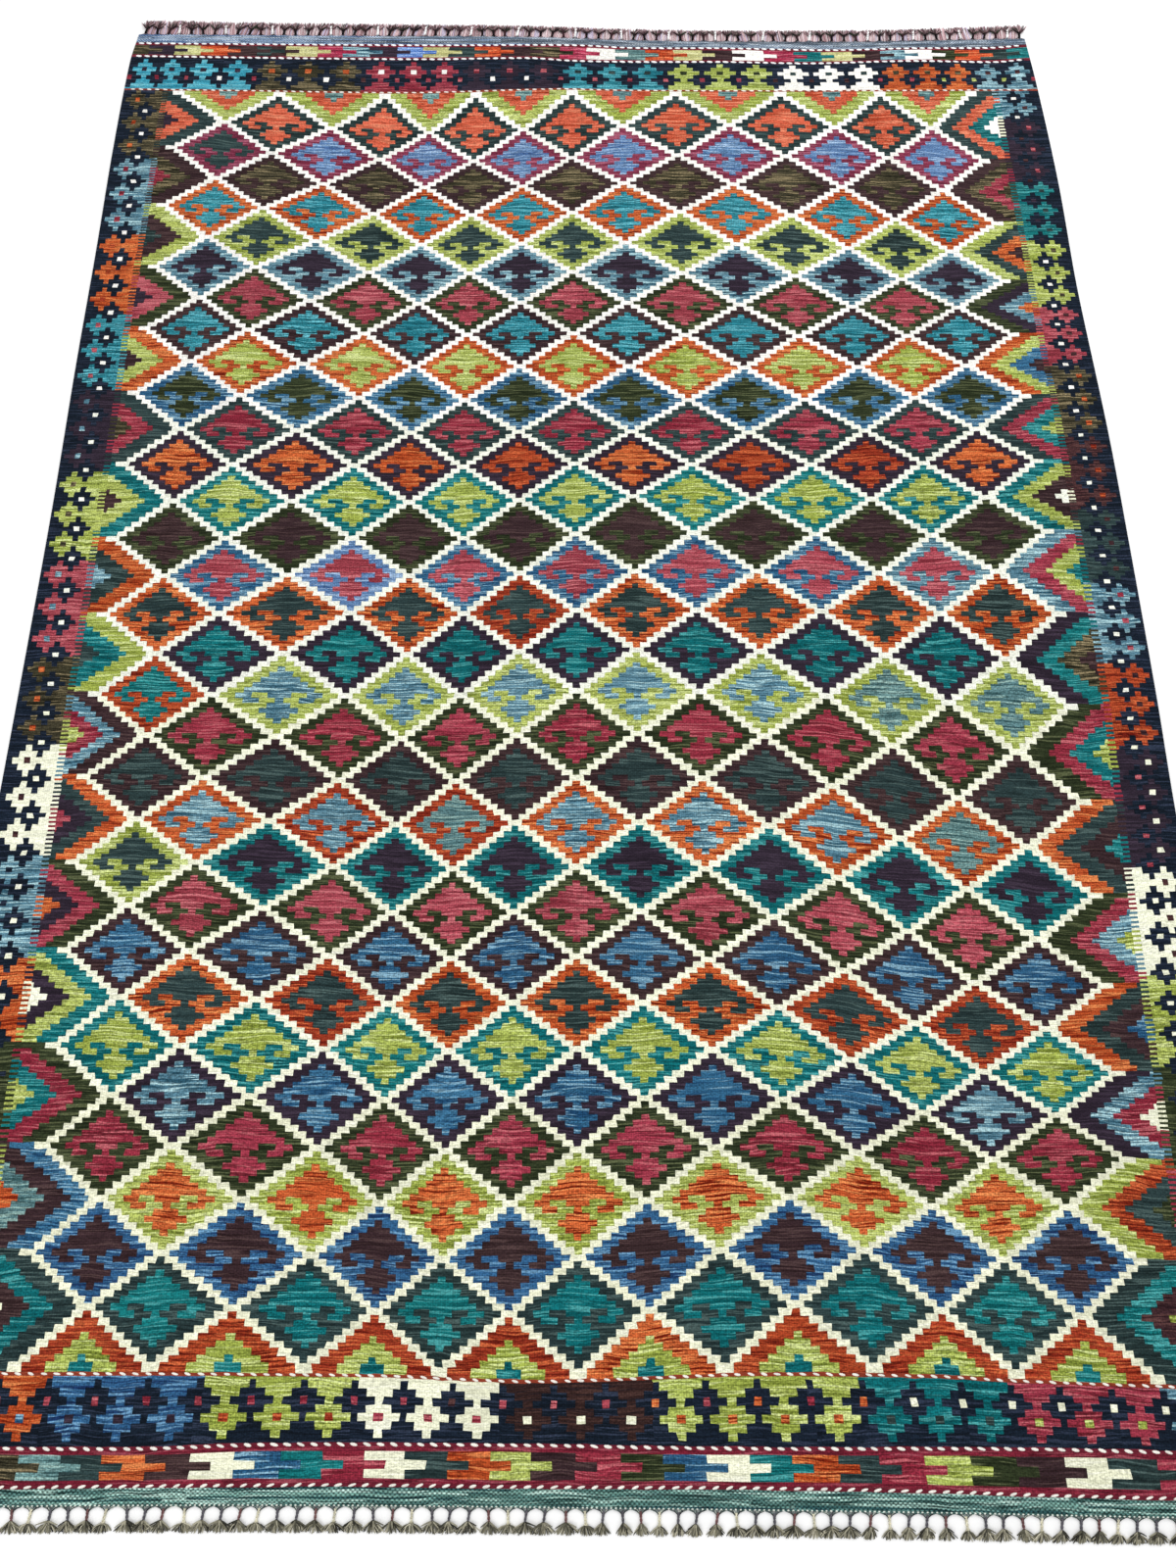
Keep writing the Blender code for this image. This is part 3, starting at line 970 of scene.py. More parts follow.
@dataclass
class SideBorder:
    """A navy border down one side, whose flowers stand on a comb-edged base beside the field."""

    weave: Weave
    lattice: LatticeChart
    runs: tuple[BorderRun, ...]
    side: int
    comb: float = 13 * MM
    base: float = 6 * MM

    def __post_init__(self) -> None:
        """Works out the level of every cell of every flower."""
        top = self.weave.far_cords[0] - self.weave.half_cord
        bottom = self.weave.near_cords[0] + self.weave.half_cord
        middle = self.side * (self.weave.border_start + self.weave.cloth_edge) / 2
        self.lines, self.marks = [top], []
        for rank, run in enumerate(self.runs):
            last = rank == len(self.runs) - 1
            stop = bottom if last else self.weave.level_of(run.stop * MM, middle)
            count = round(run.flowers * 6)
            start = self.lines[-1]
            cuts = [k // 6 + k % 6 * FLOWER_CELL for k in range(-count, 1)]
            self.lines += [start + (stop - start) * (1 - cut / cuts[0]) for cut in cuts[1:]]
            self.marks += [(rank, (k - count) % 6) for k in range(count)]

    def across_lines(self) -> list[float]:
        """Where the border's columns of cells meet, outwards from the field or inwards to it."""
        width, first = self.weave.border_width, self.comb + self.base
        cell = (width - first - self.weave.border_strip) / len(FLOWER)
        widths = [0, self.comb, *(first + cell * k for k in range(len(FLOWER) + 1)), width]
        start, edge = self.weave.border_start, self.weave.cloth_edge
        lines = [self.side * (start + (edge - start) * w / width) for w in widths]
        return lines if self.side > 0 else lines[::-1]

    def cell(self, column: int, row: int) -> Cell:
        """The border's cell at one column, counted outwards from the comb, and one row from the far end."""
        rank, step = self.marks[row]
        run = self.runs[rank]
        wool, lot = Wool.named(run.wool), Lots.BORDER + row // 6 + (300 if self.side > 0 else 0)
        if column == 0:
            level = (self.lines[row] + self.lines[row + 1]) / 2
            place = self.side * (self.weave.border_start - 0.01)
            return Cell(wool, lot, self.lattice.margin_cell(place, level).wool)
        mark = "C" if column == 1 else "." if column > len(FLOWER) + 1 else FLOWER[column - 2][step]
        if mark == "C":
            return Cell(wool, lot)
        if mark in "dD":
            return Cell(Wool.named(run.centre if mark == "d" else run.dot), lot)
        return Cell(Wool.NAVY, row // 40)  # a new lot about every seventh flower


# ---- Materials ----


def add_node(tree: bpy.types.NodeTree, kind: str, *values: object, **named: object) -> bpy.types.Node:
    """Adds a shader node with its settings, values and links.

    Args:
        tree: the material's node tree.
        kind: the node's type, without the word that all of them start with.
        values: for its first inputs in order, a value, a socket, or a node whose first output is meant.
        named: the same for inputs by name, with capitals, and the node's own settings, without them.

    Returns:
        The new node.
    """
    node = tree.nodes.new("ShaderNode" + kind)
    for name in [name for name in named if name.islower()]:
        setattr(node, name, named.pop(name))
    sockets = {}
    for socket in reversed(node.inputs[:]):
        sockets.update({socket.name.replace(" ", "_"): socket, socket.identifier: socket})
    wanted = [*zip(node.inputs, values), *((sockets[name], value) for name, value in named.items())]
    for socket, value in wanted:
        source = value.outputs[0] if isinstance(value, bpy.types.Node) else value
        if isinstance(source, bpy.types.NodeSocket):
            tree.links.new(source, socket)
        else:
            socket.default_value = source
    return node


def start_material(name: str) -> tuple[bpy.types.Material, Callable[..., bpy.types.Node]]:
    """Makes a material, and the function that adds nodes to it."""
    material = bpy.data.materials.new(name)
    material.use_nodes = True
    return material, partial(add_node, material.node_tree)


def set_surface(material: bpy.types.Material, colour: bpy.types.Node, roughness: float, specular: float,
                bump: bpy.types.Node | None = None) -> bpy.types.Material:
    """Links a material's surface up.

    Args:
        material: the material.
        colour: the node that gives its colour.
        roughness: how matt it is.
        specular: how strongly it mirrors.
        bump: the node that gives its relief.

    Returns:
        The material.
    """
    links, shader = material.node_tree.links, material.node_tree.nodes["Principled BSDF"]
    links.new(colour.outputs[0], shader.inputs["Base Color"])
    if bump:
        links.new(bump.outputs[0], shader.inputs["Normal"])
    shader.inputs["Roughness"].default_value = roughness
    shader.inputs["Specular IOR Level"].default_value = specular
    return material


@dataclass(frozen=True)
class WovenWool:
    """Handspun wool in a weft-faced tapestry weave: matt and soft, each weft row beaten down over
    ribs of warp, with thin streaks where one lot of dyed yarn follows another."""

    name: str = "Handspun wool, weft-faced tapestry weave"
    roughness: float = 0.95
    specular: float = 0.08
    rib_pitch: float = 3.6 * MM  # the warps
    weft_pitch: float = 1.9 * MM  # two beaten wefts drawn as one, since one alone is too fine to show
    bead_length: float = 4.5 * MM
    bead_pitch: float = 6.0 * MM  # dots of painted light and shade in the loose plain ends, nearly twice as coarse so that they show
    bead_width: float = 6.6 * MM
    streak_height: float = 3.0 * MM
    streak_length: float = 75 * MM
    bend: float = 18 * MM
    bend_scale: tuple[float, float, float] = (11.0, 16.0, 1.0)
    comb_pitch: float = 8.2 * MM
    # From which value of the clouds a streak shows, and over how much of them it blends in.
    dark_from: float = 0.50
    light_from: float = 0.53
    blend: float = 0.09
    # Ranges that are read, and the light that they are turned into: painted light and shade that multiplies
    # the wool's colour on the wefts, where it also carries their uneven tone, on the ribs, and in the slits.
    weft_light: tuple[float, ...] = (0.36, 0.64, 0.54, 1.44)
    painted_rib_light: tuple[float, ...] = (-1.0, 1.0, 0.84, 1.08)
    slit_light: tuple[float, ...] = (0.82, 0.95, 1.0, 0.64)
    relief: float = 0.4 * MM

    def build(self) -> bpy.types.Material:
        """Makes the material, which reads the cell colours that the cloth's corners carry.

        Returns:
            The material.
        """
        material, add = start_material(self.name)
        yarn, dark, light, tooth, slit, droop = (
            add("Attribute", attribute_name=name)
            for name in ("yarn", "dark", "light", "tooth", "slit", "droop")
        )
        place = add("TexCoord").outputs["Object"]
        split = add("SeparateXYZ", place)
        level = add("Math", split.outputs["Y"], droop.outputs["Fac"], operation="SUBTRACT")

        # The wefts bend a little round the motifs.
        bend = add("Mapping", place, Scale=self.bend_scale)
        bend = add("TexNoise", bend, Scale=1.0, Detail=1.0, Roughness=0.4)
        bend = add("Math", bend, self.bend, level, operation="MULTIPLY_ADD")

        # Dark and light streaks lie along the wefts and differ from one lot to the next.
        lot = add("Math", yarn.outputs["Alpha"], 37.0, operation="MULTIPLY")
        long = add("Math", split, self.streak_length, operation="DIVIDE")
        high = add("Math", bend, self.streak_height, operation="DIVIDE")
        clouds = add("TexNoise", add("CombineXYZ", long, high, lot), Scale=1.0, Detail=1.0, Roughness=0.6)
        clouds = add("SeparateColor", clouds.outputs["Color"])
        colour = yarn.outputs["Color"]
        streaks = (("Red", dark, self.dark_from), ("Green", light, self.light_from))
        for channel, tone, least in streaks:
            where = add("MapRange", clouds.outputs[channel], least, least + self.blend, 0.0, 1.0,
                        interpolation_type="SMOOTHSTEP")
            where = add("Math", where, dark.outputs["Alpha"], operation="MULTIPLY")
            colour = add("Mix", where, A_Color=colour, B_Color=tone, data_type="RGBA").outputs[2]

        # Comb teeth: the border's wool and the field's wool take turns up the comb.
        turn = add("Math", add("Math", level, self.comb_pitch, operation="DIVIDE"), operation="FRACT")
        turn = add("Math", turn, 0.5, operation="GREATER_THAN")
        mask = add("Math", turn, tooth.outputs["Alpha"], operation="MULTIPLY")
        colour = add("Mix", mask, A_Color=colour, B_Color=tooth, data_type="RGBA").outputs[2]

        # Ribs of warp, wefts that ride over them, and in the loose plain ends beads, also painted into the
        # colour as light and shade: lighter on ribs and bead tops, darker in the furrows and between the
        # beads. The wefts' clouds are partly the handspun's uneven tone and partly painted light and shade of
        # their relief.
        rib, rows, painted_bead_light = (
            add("Math", add("Math", along, 2 * pi / pitch, operation="MULTIPLY"), operation="SINE")
            for along, pitch in ((split, self.rib_pitch), (bend, self.bead_pitch), (split, self.bead_width))
        )
        fine = add("CombineXYZ", split, bend, lot)
        fine = add("Mapping", fine, Scale=(1 / self.bead_length, 1 / self.weft_pitch, 1.0))
        fine = add("TexNoise", fine, Scale=1.0, Detail=1.5, Roughness=0.6)
        # Painted light and shade of the wefts' relief, which also carries their uneven tone, and of the ribs:
        # lighter on top, darker in the furrows.
        shade = add("MapRange", fine, *self.weft_light)
        shade = add("Math", shade, add("MapRange", rib, *self.painted_rib_light), operation="MULTIPLY")
        shade = add("Mix", dark.outputs["Alpha"], A_Float=1.0, B_Float=shade, data_type="FLOAT")
        # Painted light and shade of the beads: lighter and darker dots, strongest in the loose plain ends.
        painted_bead_light = add("Math", rows, painted_bead_light, operation="MULTIPLY")
        painted_bead_light = add("Math", painted_bead_light, light.outputs["Alpha"], 1.0, operation="MULTIPLY_ADD")

        # Slits stay open where two wools turn back beside each other; the shade in them is painted into the
        # colour, darkening the cells next to the slit.
        sides = add("SeparateColor", slit)
        painted_slit_shade = add("Math", sides.outputs["Red"], sides.outputs["Green"], operation="MAXIMUM")
        painted_slit_shade = add("MapRange", painted_slit_shade, *self.slit_light, interpolation_type="SMOOTHSTEP")
        for part in (painted_bead_light, painted_slit_shade):
            shade = add("Math", shade, part, operation="MULTIPLY")
        tone = add("VectorMath", colour, Scale=shade, operation="SCALE")
        height = add("Math", fine, 1.6, rib, operation="MULTIPLY_ADD")  # wefts over ribs
        bump = add("Bump", Strength=0.6, Distance=self.relief, Height=height)
        return set_surface(material, tone, self.roughness, self.specular, bump)


@dataclass(frozen=True)
class PliedYarn:
    """Handspun warp yarn, plied and left raw: matt, fuzzy and a little uneven in colour."""

    name: str
    roughness: float = 0.95
    specular: float = 0.08
    ply_pitch: float = 1.6 * MM
    ply_light: tuple[float, ...] = (0.3, 0.7, 0.78, 1.15)  # the range that is read, and the light it gives
    relief: float = 0.3 * MM

    def build(self) -> bpy.types.Material:
        """Makes the material, which reads each strand's own colour.

        Returns:
            The material.
        """
        material, add = start_material(self.name)
        place = add("TexCoord").outputs["Object"]
        grain = add("TexNoise", place, Scale=1 / self.ply_pitch, Detail=2.0, Roughness=0.6)
        light = add("MapRange", grain, *self.ply_light)
        tone = add("VectorMath", add("Attribute", attribute_name="strand"), Scale=light, operation="SCALE")
        bump = add("Bump", Strength=0.5, Distance=self.relief, Height=grain)
        return set_surface(material, tone, self.roughness, self.specular, bump)


# ---- Cloth ----


@dataclass
class Patch:
    """A part of the cloth whose cells line up in columns and rows."""

    across: list[float]
    along: list[float]
    cells: dict[tuple[int, int], Cell] = field(default_factory=dict)


def read_all(items: bpy.types.bpy_prop_collection, name: str, kind: type, width: int = 1) -> np.ndarray:
    """Reads one value of every item in a mesh's list.

    Args:
        items: the list.
        name: the value's name.
        kind: its type.
        width: how many numbers it has.

    Returns:
        All values in one row.
    """
    values = np.empty(width * len(items), dtype=kind)
    items.foreach_get(name, values)
    return values


def corner_places(mesh: bpy.types.Mesh) -> np.ndarray:
    """Where each corner of each face is."""
    places = read_all(mesh.vertices, "co", np.float32, 3).reshape(-1, 3)
    return places[read_all(mesh.loops, "vertex_index", np.int32)]


def write_corners(mesh: bpy.types.Mesh, name: str, values: np.ndarray) -> None:
    """Gives every corner of every face four numbers for the materials to read."""
    mesh.attributes.new(name, "FLOAT_COLOR", "CORNER").data.foreach_set("color", values.ravel())


def new_object(name: str, mesh: bpy.types.Mesh, material: bpy.types.Material) -> bpy.types.Object:
    """Puts a mesh in the scene as an object at the origin, with its material."""
    mesh.materials.append(material)
    obj = bpy.data.objects.new(name, mesh)
    bpy.context.scene.collection.objects.link(obj)
    return obj


def mesh_from(name: str, bm: bmesh.types.BMesh) -> bpy.types.Mesh:
    """Turns a bmesh into a mesh and frees it."""
    mesh = bpy.data.meshes.new(name)
    bm.to_mesh(mesh)
    bm.free()
    return mesh


class Cloth:
    """The flat-woven cloth, in two layers as the weave has: a face and a back with the same chart."""

    # How far the painted shade of a slit reaches into the cells beside it.
    SLIT_SHADE_REACH = 5 * MM
    CELL_LAYERS = ("patch", "column", "row")  # what a face remembers of its place in the chart
    WELD = 2e-5  # in chart units
    # On the map for baking, how large a share each part takes and where it starts.
    MAP_FACE = (0.96, 0.01)
    MAP_REST = (0.018, 0.976)

    def __init__(self, weave: Weave, shift: Vector) -> None:
        """Draws the whole chart.

        Args:
            weave: where the chart's lines lie.
            shift: from the weave's own middle to the frame's origin.
        """
        self.weave, self.shift, self.dyer = weave, shift, Dyer()
        self.lattice = LatticeChart(weave)
        self.patches = [
            self.field_patch(),
            *(self.border_patch(side, runs) for side, runs in ((-1, LEFT_RUNS), (1, RIGHT_RUNS))),
            *(self.band_patch(band) for band in self.bands()),
        ]
        for patch in self.patches:
            self.whiten(patch)

    def whiten(self, patch: Patch) -> None:
        """Swaps the ivory for whiter wools, the whiter the nearer the far end."""
        for (column, row), cell in patch.cells.items():
            if cell.wool is Wool.IVORY:
                level = (patch.along[row] + patch.along[row + 1]) / 2
                wool = next(wool for wool, stop in PALE_WOOLS.items() if level < stop)
                patch.cells[column, row] = replace(cell, wool=wool)

    def bands(self) -> list[FlowerBand | ArrowBand]:
        """The bands of both ends."""
        return [
            FlowerBand(self.weave, 1, FAR_FLOWERS),
            ArrowBand(self.weave, 1, FAR_ARROWS, 3 * MM, FAR_PLAIN),
            FlowerBand(self.weave, -1, NEAR_FLOWERS),
            ArrowBand(self.weave, -1, NEAR_ARROWS, 6 * MM, NEAR_PLAIN),
        ]

    def field_patch(self) -> Patch:
        """The field between the side borders."""
        patch = Patch(self.lattice.across_lines(), self.lattice.along_lines())
        edge = self.weave.lattice_edge
        for column, (left, right) in enumerate(zip(patch.across, patch.across[1:])):
            middle = (left + right) / 2
            for row in range(len(patch.along) - 1):
                if abs(middle) < edge:
                    cell = self.lattice.cell(middle * self.lattice.unit_count, row)
                else:
                    level = (patch.along[row] + patch.along[row + 1]) / 2
                    cell = self.lattice.margin_cell(middle, level)
                patch.cells[column, row] = cell
        return patch

    def border_patch(self, side: int, runs: tuple[BorderRun, ...]) -> Patch:
        """The border down one side."""
        border = SideBorder(self.weave, self.lattice, runs, side)
        patch = Patch(border.across_lines(), border.lines)
        last = len(patch.across) - 2
        for column in range(last + 1):
            for row in range(len(patch.along) - 1):
                patch.cells[column, row] = border.cell(column if side > 0 else last - column, row)
        return patch

    def band_patch(self, band: FlowerBand | ArrowBand) -> Patch:
        """A band across one end."""
        patch = Patch(band.across_lines(), band.along_lines())
        for row in range(len(patch.along) - 1):
            level = (patch.along[row] + patch.along[row + 1]) / 2
            for column, (left, right) in enumerate(zip(patch.across, patch.across[1:])):
                x = (self.weave.x_at(left, level) + self.weave.x_at(right, level)) / 2
                patch.cells[column, row] = band.cell(x, row)
        return patch

    def build(
        self, name: str, surface: float, inside: float, material: bpy.types.Material
    ) -> bpy.types.Object:
        """Makes one layer of the cloth as a closed mesh.

        Args:
            name: the object's name.
            surface: the Z of the layer's woven surface.
            inside: the Z where it meets the other layer.
            material: the wool.

        Returns:
            The layer's object.
        """
        bm = bmesh.new()
        layers = [bm.faces.layers.int.new(layer) for layer in self.CELL_LAYERS]
        bm.verts.layers.float.new("droop")
        for number, patch in enumerate(self.patches, start=1):
            self.add_patch(bm, number, patch, layers)
        band_ends = {patch.along[k] for patch in self.patches[3:] for k in (0, -1)}
        for level in sorted(band_ends, key=abs)[:4]:  # without the two ends of the cloth
            self.zip_seam(bm, 1, level)
        for side in (-1, 1):
            self.zip_seam(bm, 0, side * self.weave.border_start)
        bmesh.ops.remove_doubles(bm, verts=bm.verts, dist=self.WELD)
        self.settle(bm, surface)
        self.close(bm, inside, layers[0])
        mesh = mesh_from(name, bm)
        self.paint(mesh)
        return new_object(name, mesh, material)

    @staticmethod
    def add_patch(bm: bmesh.types.BMesh, number: int, patch: Patch, layers: list) -> None:
        """Adds one patch as a grid in the chart's own coordinates."""
        across, along = sorted(patch.across), sorted(patch.along)
        flip = patch.along[0] > patch.along[-1]
        columns, rows = len(across) - 1, len(along) - 1
        made = bmesh.ops.create_grid(bm, x_segments=columns, y_segments=rows, size=1)
        verts = made["verts"]
        faces = {face for vert in verts for face in vert.link_faces}
        for face in faces:
            middle = face.calc_center_median()
            column, row = int((middle.x + 1) / 2 * columns), int((middle.y + 1) / 2 * rows)
            face[layers[0]] = number
            face[layers[1]] = column
            face[layers[2]] = rows - 1 - row if flip else row
        for vert in verts:
            column, row = round((vert.co.x + 1) / 2 * columns), round((vert.co.y + 1) / 2 * rows)
            vert.co = (across[column], along[row], 0)

    @staticmethod
    def zip_seam(bm: bmesh.types.BMesh, axis: int, level: float) -> None:
        """Splits the edges along a seam wherever the other side has a corner, so both sides can be welded."""
        along, near = 1 - axis, 1e-5
        on_seam = {vert for vert in bm.verts if abs(vert.co[axis] - level) < near}
        stops = sorted({round(vert.co[along], 6) for vert in on_seam})
        edges = {edge for vert in on_seam for edge in vert.link_edges if edge.is_boundary}
        for edge in [edge for edge in edges if all(vert in on_seam for vert in edge.verts)]:
            low, high = sorted(edge.verts, key=lambda vert: vert.co[along])
            first, last = bisect_right(stops, low.co[along] + near), bisect_left(stops, high.co[along] - near)
            for stop in stops[first:last]:
                share = (stop - low.co[along]) / (high.co[along] - low.co[along])
                low = bmesh.utils.edge_split(edge, low, share)[1]
                low.co[along] = stop

    def settle(self, bm: bmesh.types.BMesh, surface: float) -> None:
        """Moves every corner from the chart to its place on the floor, and notes how far its row strays.

        Args:
            bm: the layer in the chart's coordinates.
            surface: the Z of its surface.
        """
        droops = bm.verts.layers.float["droop"]
        for vert in bm.verts:
            x, y, droop = self.weave.place(vert.co.x, vert.co.y)
            vert.co = (x + self.shift.x, y + self.shift.y, surface)
            vert[droops] = droop + self.shift.y

    @staticmethod
    def close(bm: bmesh.types.BMesh, inside: float, patch_layer: object) -> None:
        """Closes the layer with walls round its edge and one plain face inside the cloth, faces outwards."""
        rim = [edge for edge in bm.edges if edge.is_boundary]
        made = bmesh.ops.extrude_edge_only(bm, edges=rim)["geom"]
        for item in made:
            if isinstance(item, bmesh.types.BMVert):
                item.co.z = inside
            if isinstance(item, bmesh.types.BMFace):
                item[patch_layer] = 0
        edges = [edge for edge in bm.edges if edge.is_boundary]
        for face in bmesh.ops.edgeloop_fill(bm, edges=edges)["faces"]:
            face[patch_layer] = 0
        bmesh.ops.recalc_face_normals(bm, faces=bm.faces)
        if bm.calc_volume(signed=True) < 0:
            bmesh.ops.reverse_faces(bm, faces=bm.faces)

    def paint(self, mesh: bpy.types.Mesh) -> None:
        """Writes the chart's colours on the layer's corners, and its map for later baking."""
        patch, column, row = (
            read_all(mesh.attributes[name].data, "value", np.int32) for name in self.CELL_LAYERS
        )
        total = read_all(mesh.polygons, "loop_total", np.int32)
        selvedge = self.dyer.corner_values(Cell(Wool.NAVY), 0)
        values = np.array([
            self.dyer.corner_values(self.patches[p - 1].cells[c, r], r) if p else selvedge
            for p, c, r in zip(patch.tolist(), column.tolist(), row.tolist())
        ], dtype=np.float32)
        corners = np.repeat(values, total, axis=0)
        for rank, name in enumerate(("yarn", "dark", "light", "tooth")):
            write_corners(mesh, name, corners[:, 4 * rank : 4 * rank + 4])
        write_corners(mesh, "slit", self.slits(mesh, patch, column, row, total))
        for name in self.CELL_LAYERS:
            mesh.attributes.remove(mesh.attributes[name])
        self.add_map(mesh, np.repeat(patch == 0, total))

    def add_map(self, mesh: bpy.types.Mesh, is_rest: np.ndarray) -> None:
        """Lays the woven face over most of the map for baking, and the walls and the inside beside it."""
        places = corner_places(mesh)[:, :2]
        low, high = places.min(axis=0), places.max(axis=0)
        shares = (places - low) / (high - low)
        flat = shares * self.MAP_FACE[0] + self.MAP_FACE[1]
        flat[is_rest] = shares[is_rest] * self.MAP_REST[0] + self.MAP_REST[1]
        mesh.uv_layers.new(name="OFBake").data.foreach_set("uv", flat.astype(np.float32).ravel())

    def slits(self, mesh: bpy.types.Mesh, patch: np.ndarray, column: np.ndarray, row: np.ndarray,
              total: np.ndarray) -> np.ndarray:
        """Works out how near each corner is to a slit on its cell's left (red) and right (green), where the
        material paints the slit's shade.

        Args:
            mesh: the layer's mesh.
            patch: each face's patch number, with 0 for the walls and the inside.
            column: each face's column.
            row: each face's row.
            total: each face's number of corners.

        Returns:
            Four numbers for each corner, of which the last two are zero.
        """
        wools = {wool: 0 if wool in PLAIN_ENDS else number for number, wool in enumerate(Wool, start=1)}
        changes = np.zeros((len(patch), 2), dtype=bool)
        for number, part in enumerate(self.patches, start=1):
            shape = (len(part.across) - 1, len(part.along) - 1)
            chart = np.array([wools[part.cells[place].wool] for place in np.ndindex(shape)]).reshape(shape)
            wide = np.pad(chart, ((1, 1), (0, 0)), mode="edge")
            mine = patch == number
            for side, beside in enumerate((wide[:-2], wide[2:])):
                changes[mine, side] = (beside != chart)[column[mine], row[mine]]
        starts = np.concatenate(([0], np.cumsum(total)[:-1]))
        x = corner_places(mesh)[:, 0]
        low, high = (np.repeat(f.reduceat(x, starts), total) for f in (np.minimum, np.maximum))
        values = np.zeros((len(x), 4), dtype=np.float32)
        for side, distance in enumerate((x - low, high - x)):
            marked = np.repeat(changes[:, side], total)
            values[:, side] = np.where(marked, 1 - distance / self.SLIT_SHADE_REACH, -1)
        return values


# ---- Cords and fringes ----


@dataclass
class TwinedCord:
    """A line of slanted stitches where two cords, a light one and a dark one, twine round the warps."""

    curve: Points
    length: float
    height: float
    slant: float
    dark: str
    light: str = "#f3efe6"
    pitch: float = 18 * MM
    rise: float = 0.9 * MM
    reach: float = 1.005  # from the middle to the ends
    dark_share: float = 0.8  # of the light stitches' height and rise
    overlap: float = 2.5 * MM
    surface: float = 3 * MM  # the cloth's, in which the stitches are half sunk

    def stitches(self, chance: random.Random) -> list[tuple[Matrix, str]]:
        """Where each stitch lies.

        Args:
            chance: the source of small unevenness.

        Returns:
            For each stitch its placing matrix and its colour.
        """
        placed = []
        ahead = 5 * MM  # over which the cord's direction is read
        for k in range(round(2 * self.reach / self.pitch) * 2 + 1):
            x = -self.reach + k * self.pitch / 2
            if abs(x) > self.reach:
                continue
            is_light = k % 2 == 0
            y, next_y = (smooth_read(self.curve, place / MM) * MM for place in (x, x + ahead))
            angle = atan2(next_y - y, ahead) - radians(self.slant + chance.uniform(-6, 6))
            length = self.length if is_light else self.pitch - self.length + self.overlap
            length *= chance.uniform(0.92, 1.08)
            share = 1.0 if is_light else self.dark_share
            height = self.height * share * chance.uniform(0.9, 1.1)
            place = Matrix.Translation((x + chance.uniform(-0.6, 0.6) * MM, y, self.surface))
            size = Matrix.Diagonal((length / 2, height / 2, self.rise * share, 1))
            stitch = place @ Matrix.Rotation(angle, 4, "Z") @ size
            placed.append((stitch, self.light if is_light else self.dark))
        return placed


class CordWork:
    """The six twined cords, and the last wefts over the near end, as small raised stitches."""

    def __init__(self, outline: Outline) -> None:
        """Lays out the cords.

        Args:
            outline: the cloth's outline.
        """
        red, orange = "#6a2130", "#8c3a28"
        rim = [(k * 40, outline.end_level(k * 40 * MM, -1) / MM + 0.8) for k in range(-25, 26)]
        self.cords = (
            TwinedCord(FAR_END_CORD, 14.0 * MM, 5.6 * MM, 6, "#5a1c29", "#ffffff"),
            TwinedCord(FAR_MIDDLE_CORD, 14.5 * MM, 6.0 * MM, 6, "#33202c", "#ffffff"),
            TwinedCord(FAR_FIELD_CORD, 11.5 * MM, 4.0 * MM, 6, orange, "#fbf8f0"),
            TwinedCord(NEAR_FIELD_CORD, 11.0 * MM, 3.8 * MM, 12, orange, pitch=19 * MM),
            TwinedCord(NEAR_MIDDLE_CORD, 12.5 * MM, 4.6 * MM, 14, red, pitch=19 * MM),
            TwinedCord(NEAR_END_CORD, 12.0 * MM, 4.0 * MM, -16, red, pitch=19 * MM),
            TwinedCord(rim, 3.8 * MM, 2.2 * MM, 0, "#40605c", "#dfe6dc", 6.7 * MM, 0.7 * MM, 1.0),
        )

    def build(self, name: str, shift: Vector, material: bpy.types.Material) -> bpy.types.Object:
        """Makes the stitches as one object.

        Args:
            name: the object's name.
            shift: from the weave's own middle to the frame's origin.
            material: the cords' yarn.

        Returns:
            The object.
        """
        bm = bmesh.new()
        bmesh.ops.create_uvsphere(bm, u_segments=8, v_segments=5, radius=1)
        bm.verts.index_update()
        corners = np.array([(*vert.co, 1) for vert in bm.verts])
        loops = [[vert.index for vert in face.verts] for face in bm.faces]
        bm.free()
        chance = random.Random(5)
        verts, faces, colours = [], [], []
        for cord in self.cords:
            for matrix, code in cord.stitches(chance):
                faces += [[len(verts) * len(corners) + k for k in loop] for loop in loops]
                verts.append(corners @ np.array(Matrix.Translation(shift) @ matrix).T)
                light = chance.uniform(0.9, 1.05)
                colours.append(tuple(c * light for c in linear_colour(code)))
        mesh = bpy.data.meshes.new(name)
        mesh.from_pydata(np.concatenate(verts)[:, :3], [], faces)
        paint_strands(mesh, colours, len(loops))
        return new_object(name, mesh, material)


def paint_strands(mesh: bpy.types.Mesh, colours: list[tuple], faces_each: int) -> None:
    """Gives each run of faces its strand's colour.

    Args:
        mesh: the mesh, whose strands have the same number of faces each, in order.
        colours: each strand's colour in linear light.
        faces_each: how many faces a strand has.
    """
    values = np.repeat(np.array([(*c, 1.0) for c in colours], dtype=np.float32), faces_each, axis=0)
    write_corners(mesh, "strand", np.repeat(values, read_all(mesh.polygons, "loop_total", np.int32), axis=0))
    mesh.polygons.foreach_set("use_smooth", [True] * len(mesh.polygons))


@dataclass(frozen=True)
class Strand:
    """A yarn's course: its points with a radius at each, its colour, and a direction it never takes."""

    points: tuple[tuple[Vector, float], ...]
    colour: tuple[float, float, float]
    across: tuple[float, float, float] = (0.0, 0.0, 1.0)


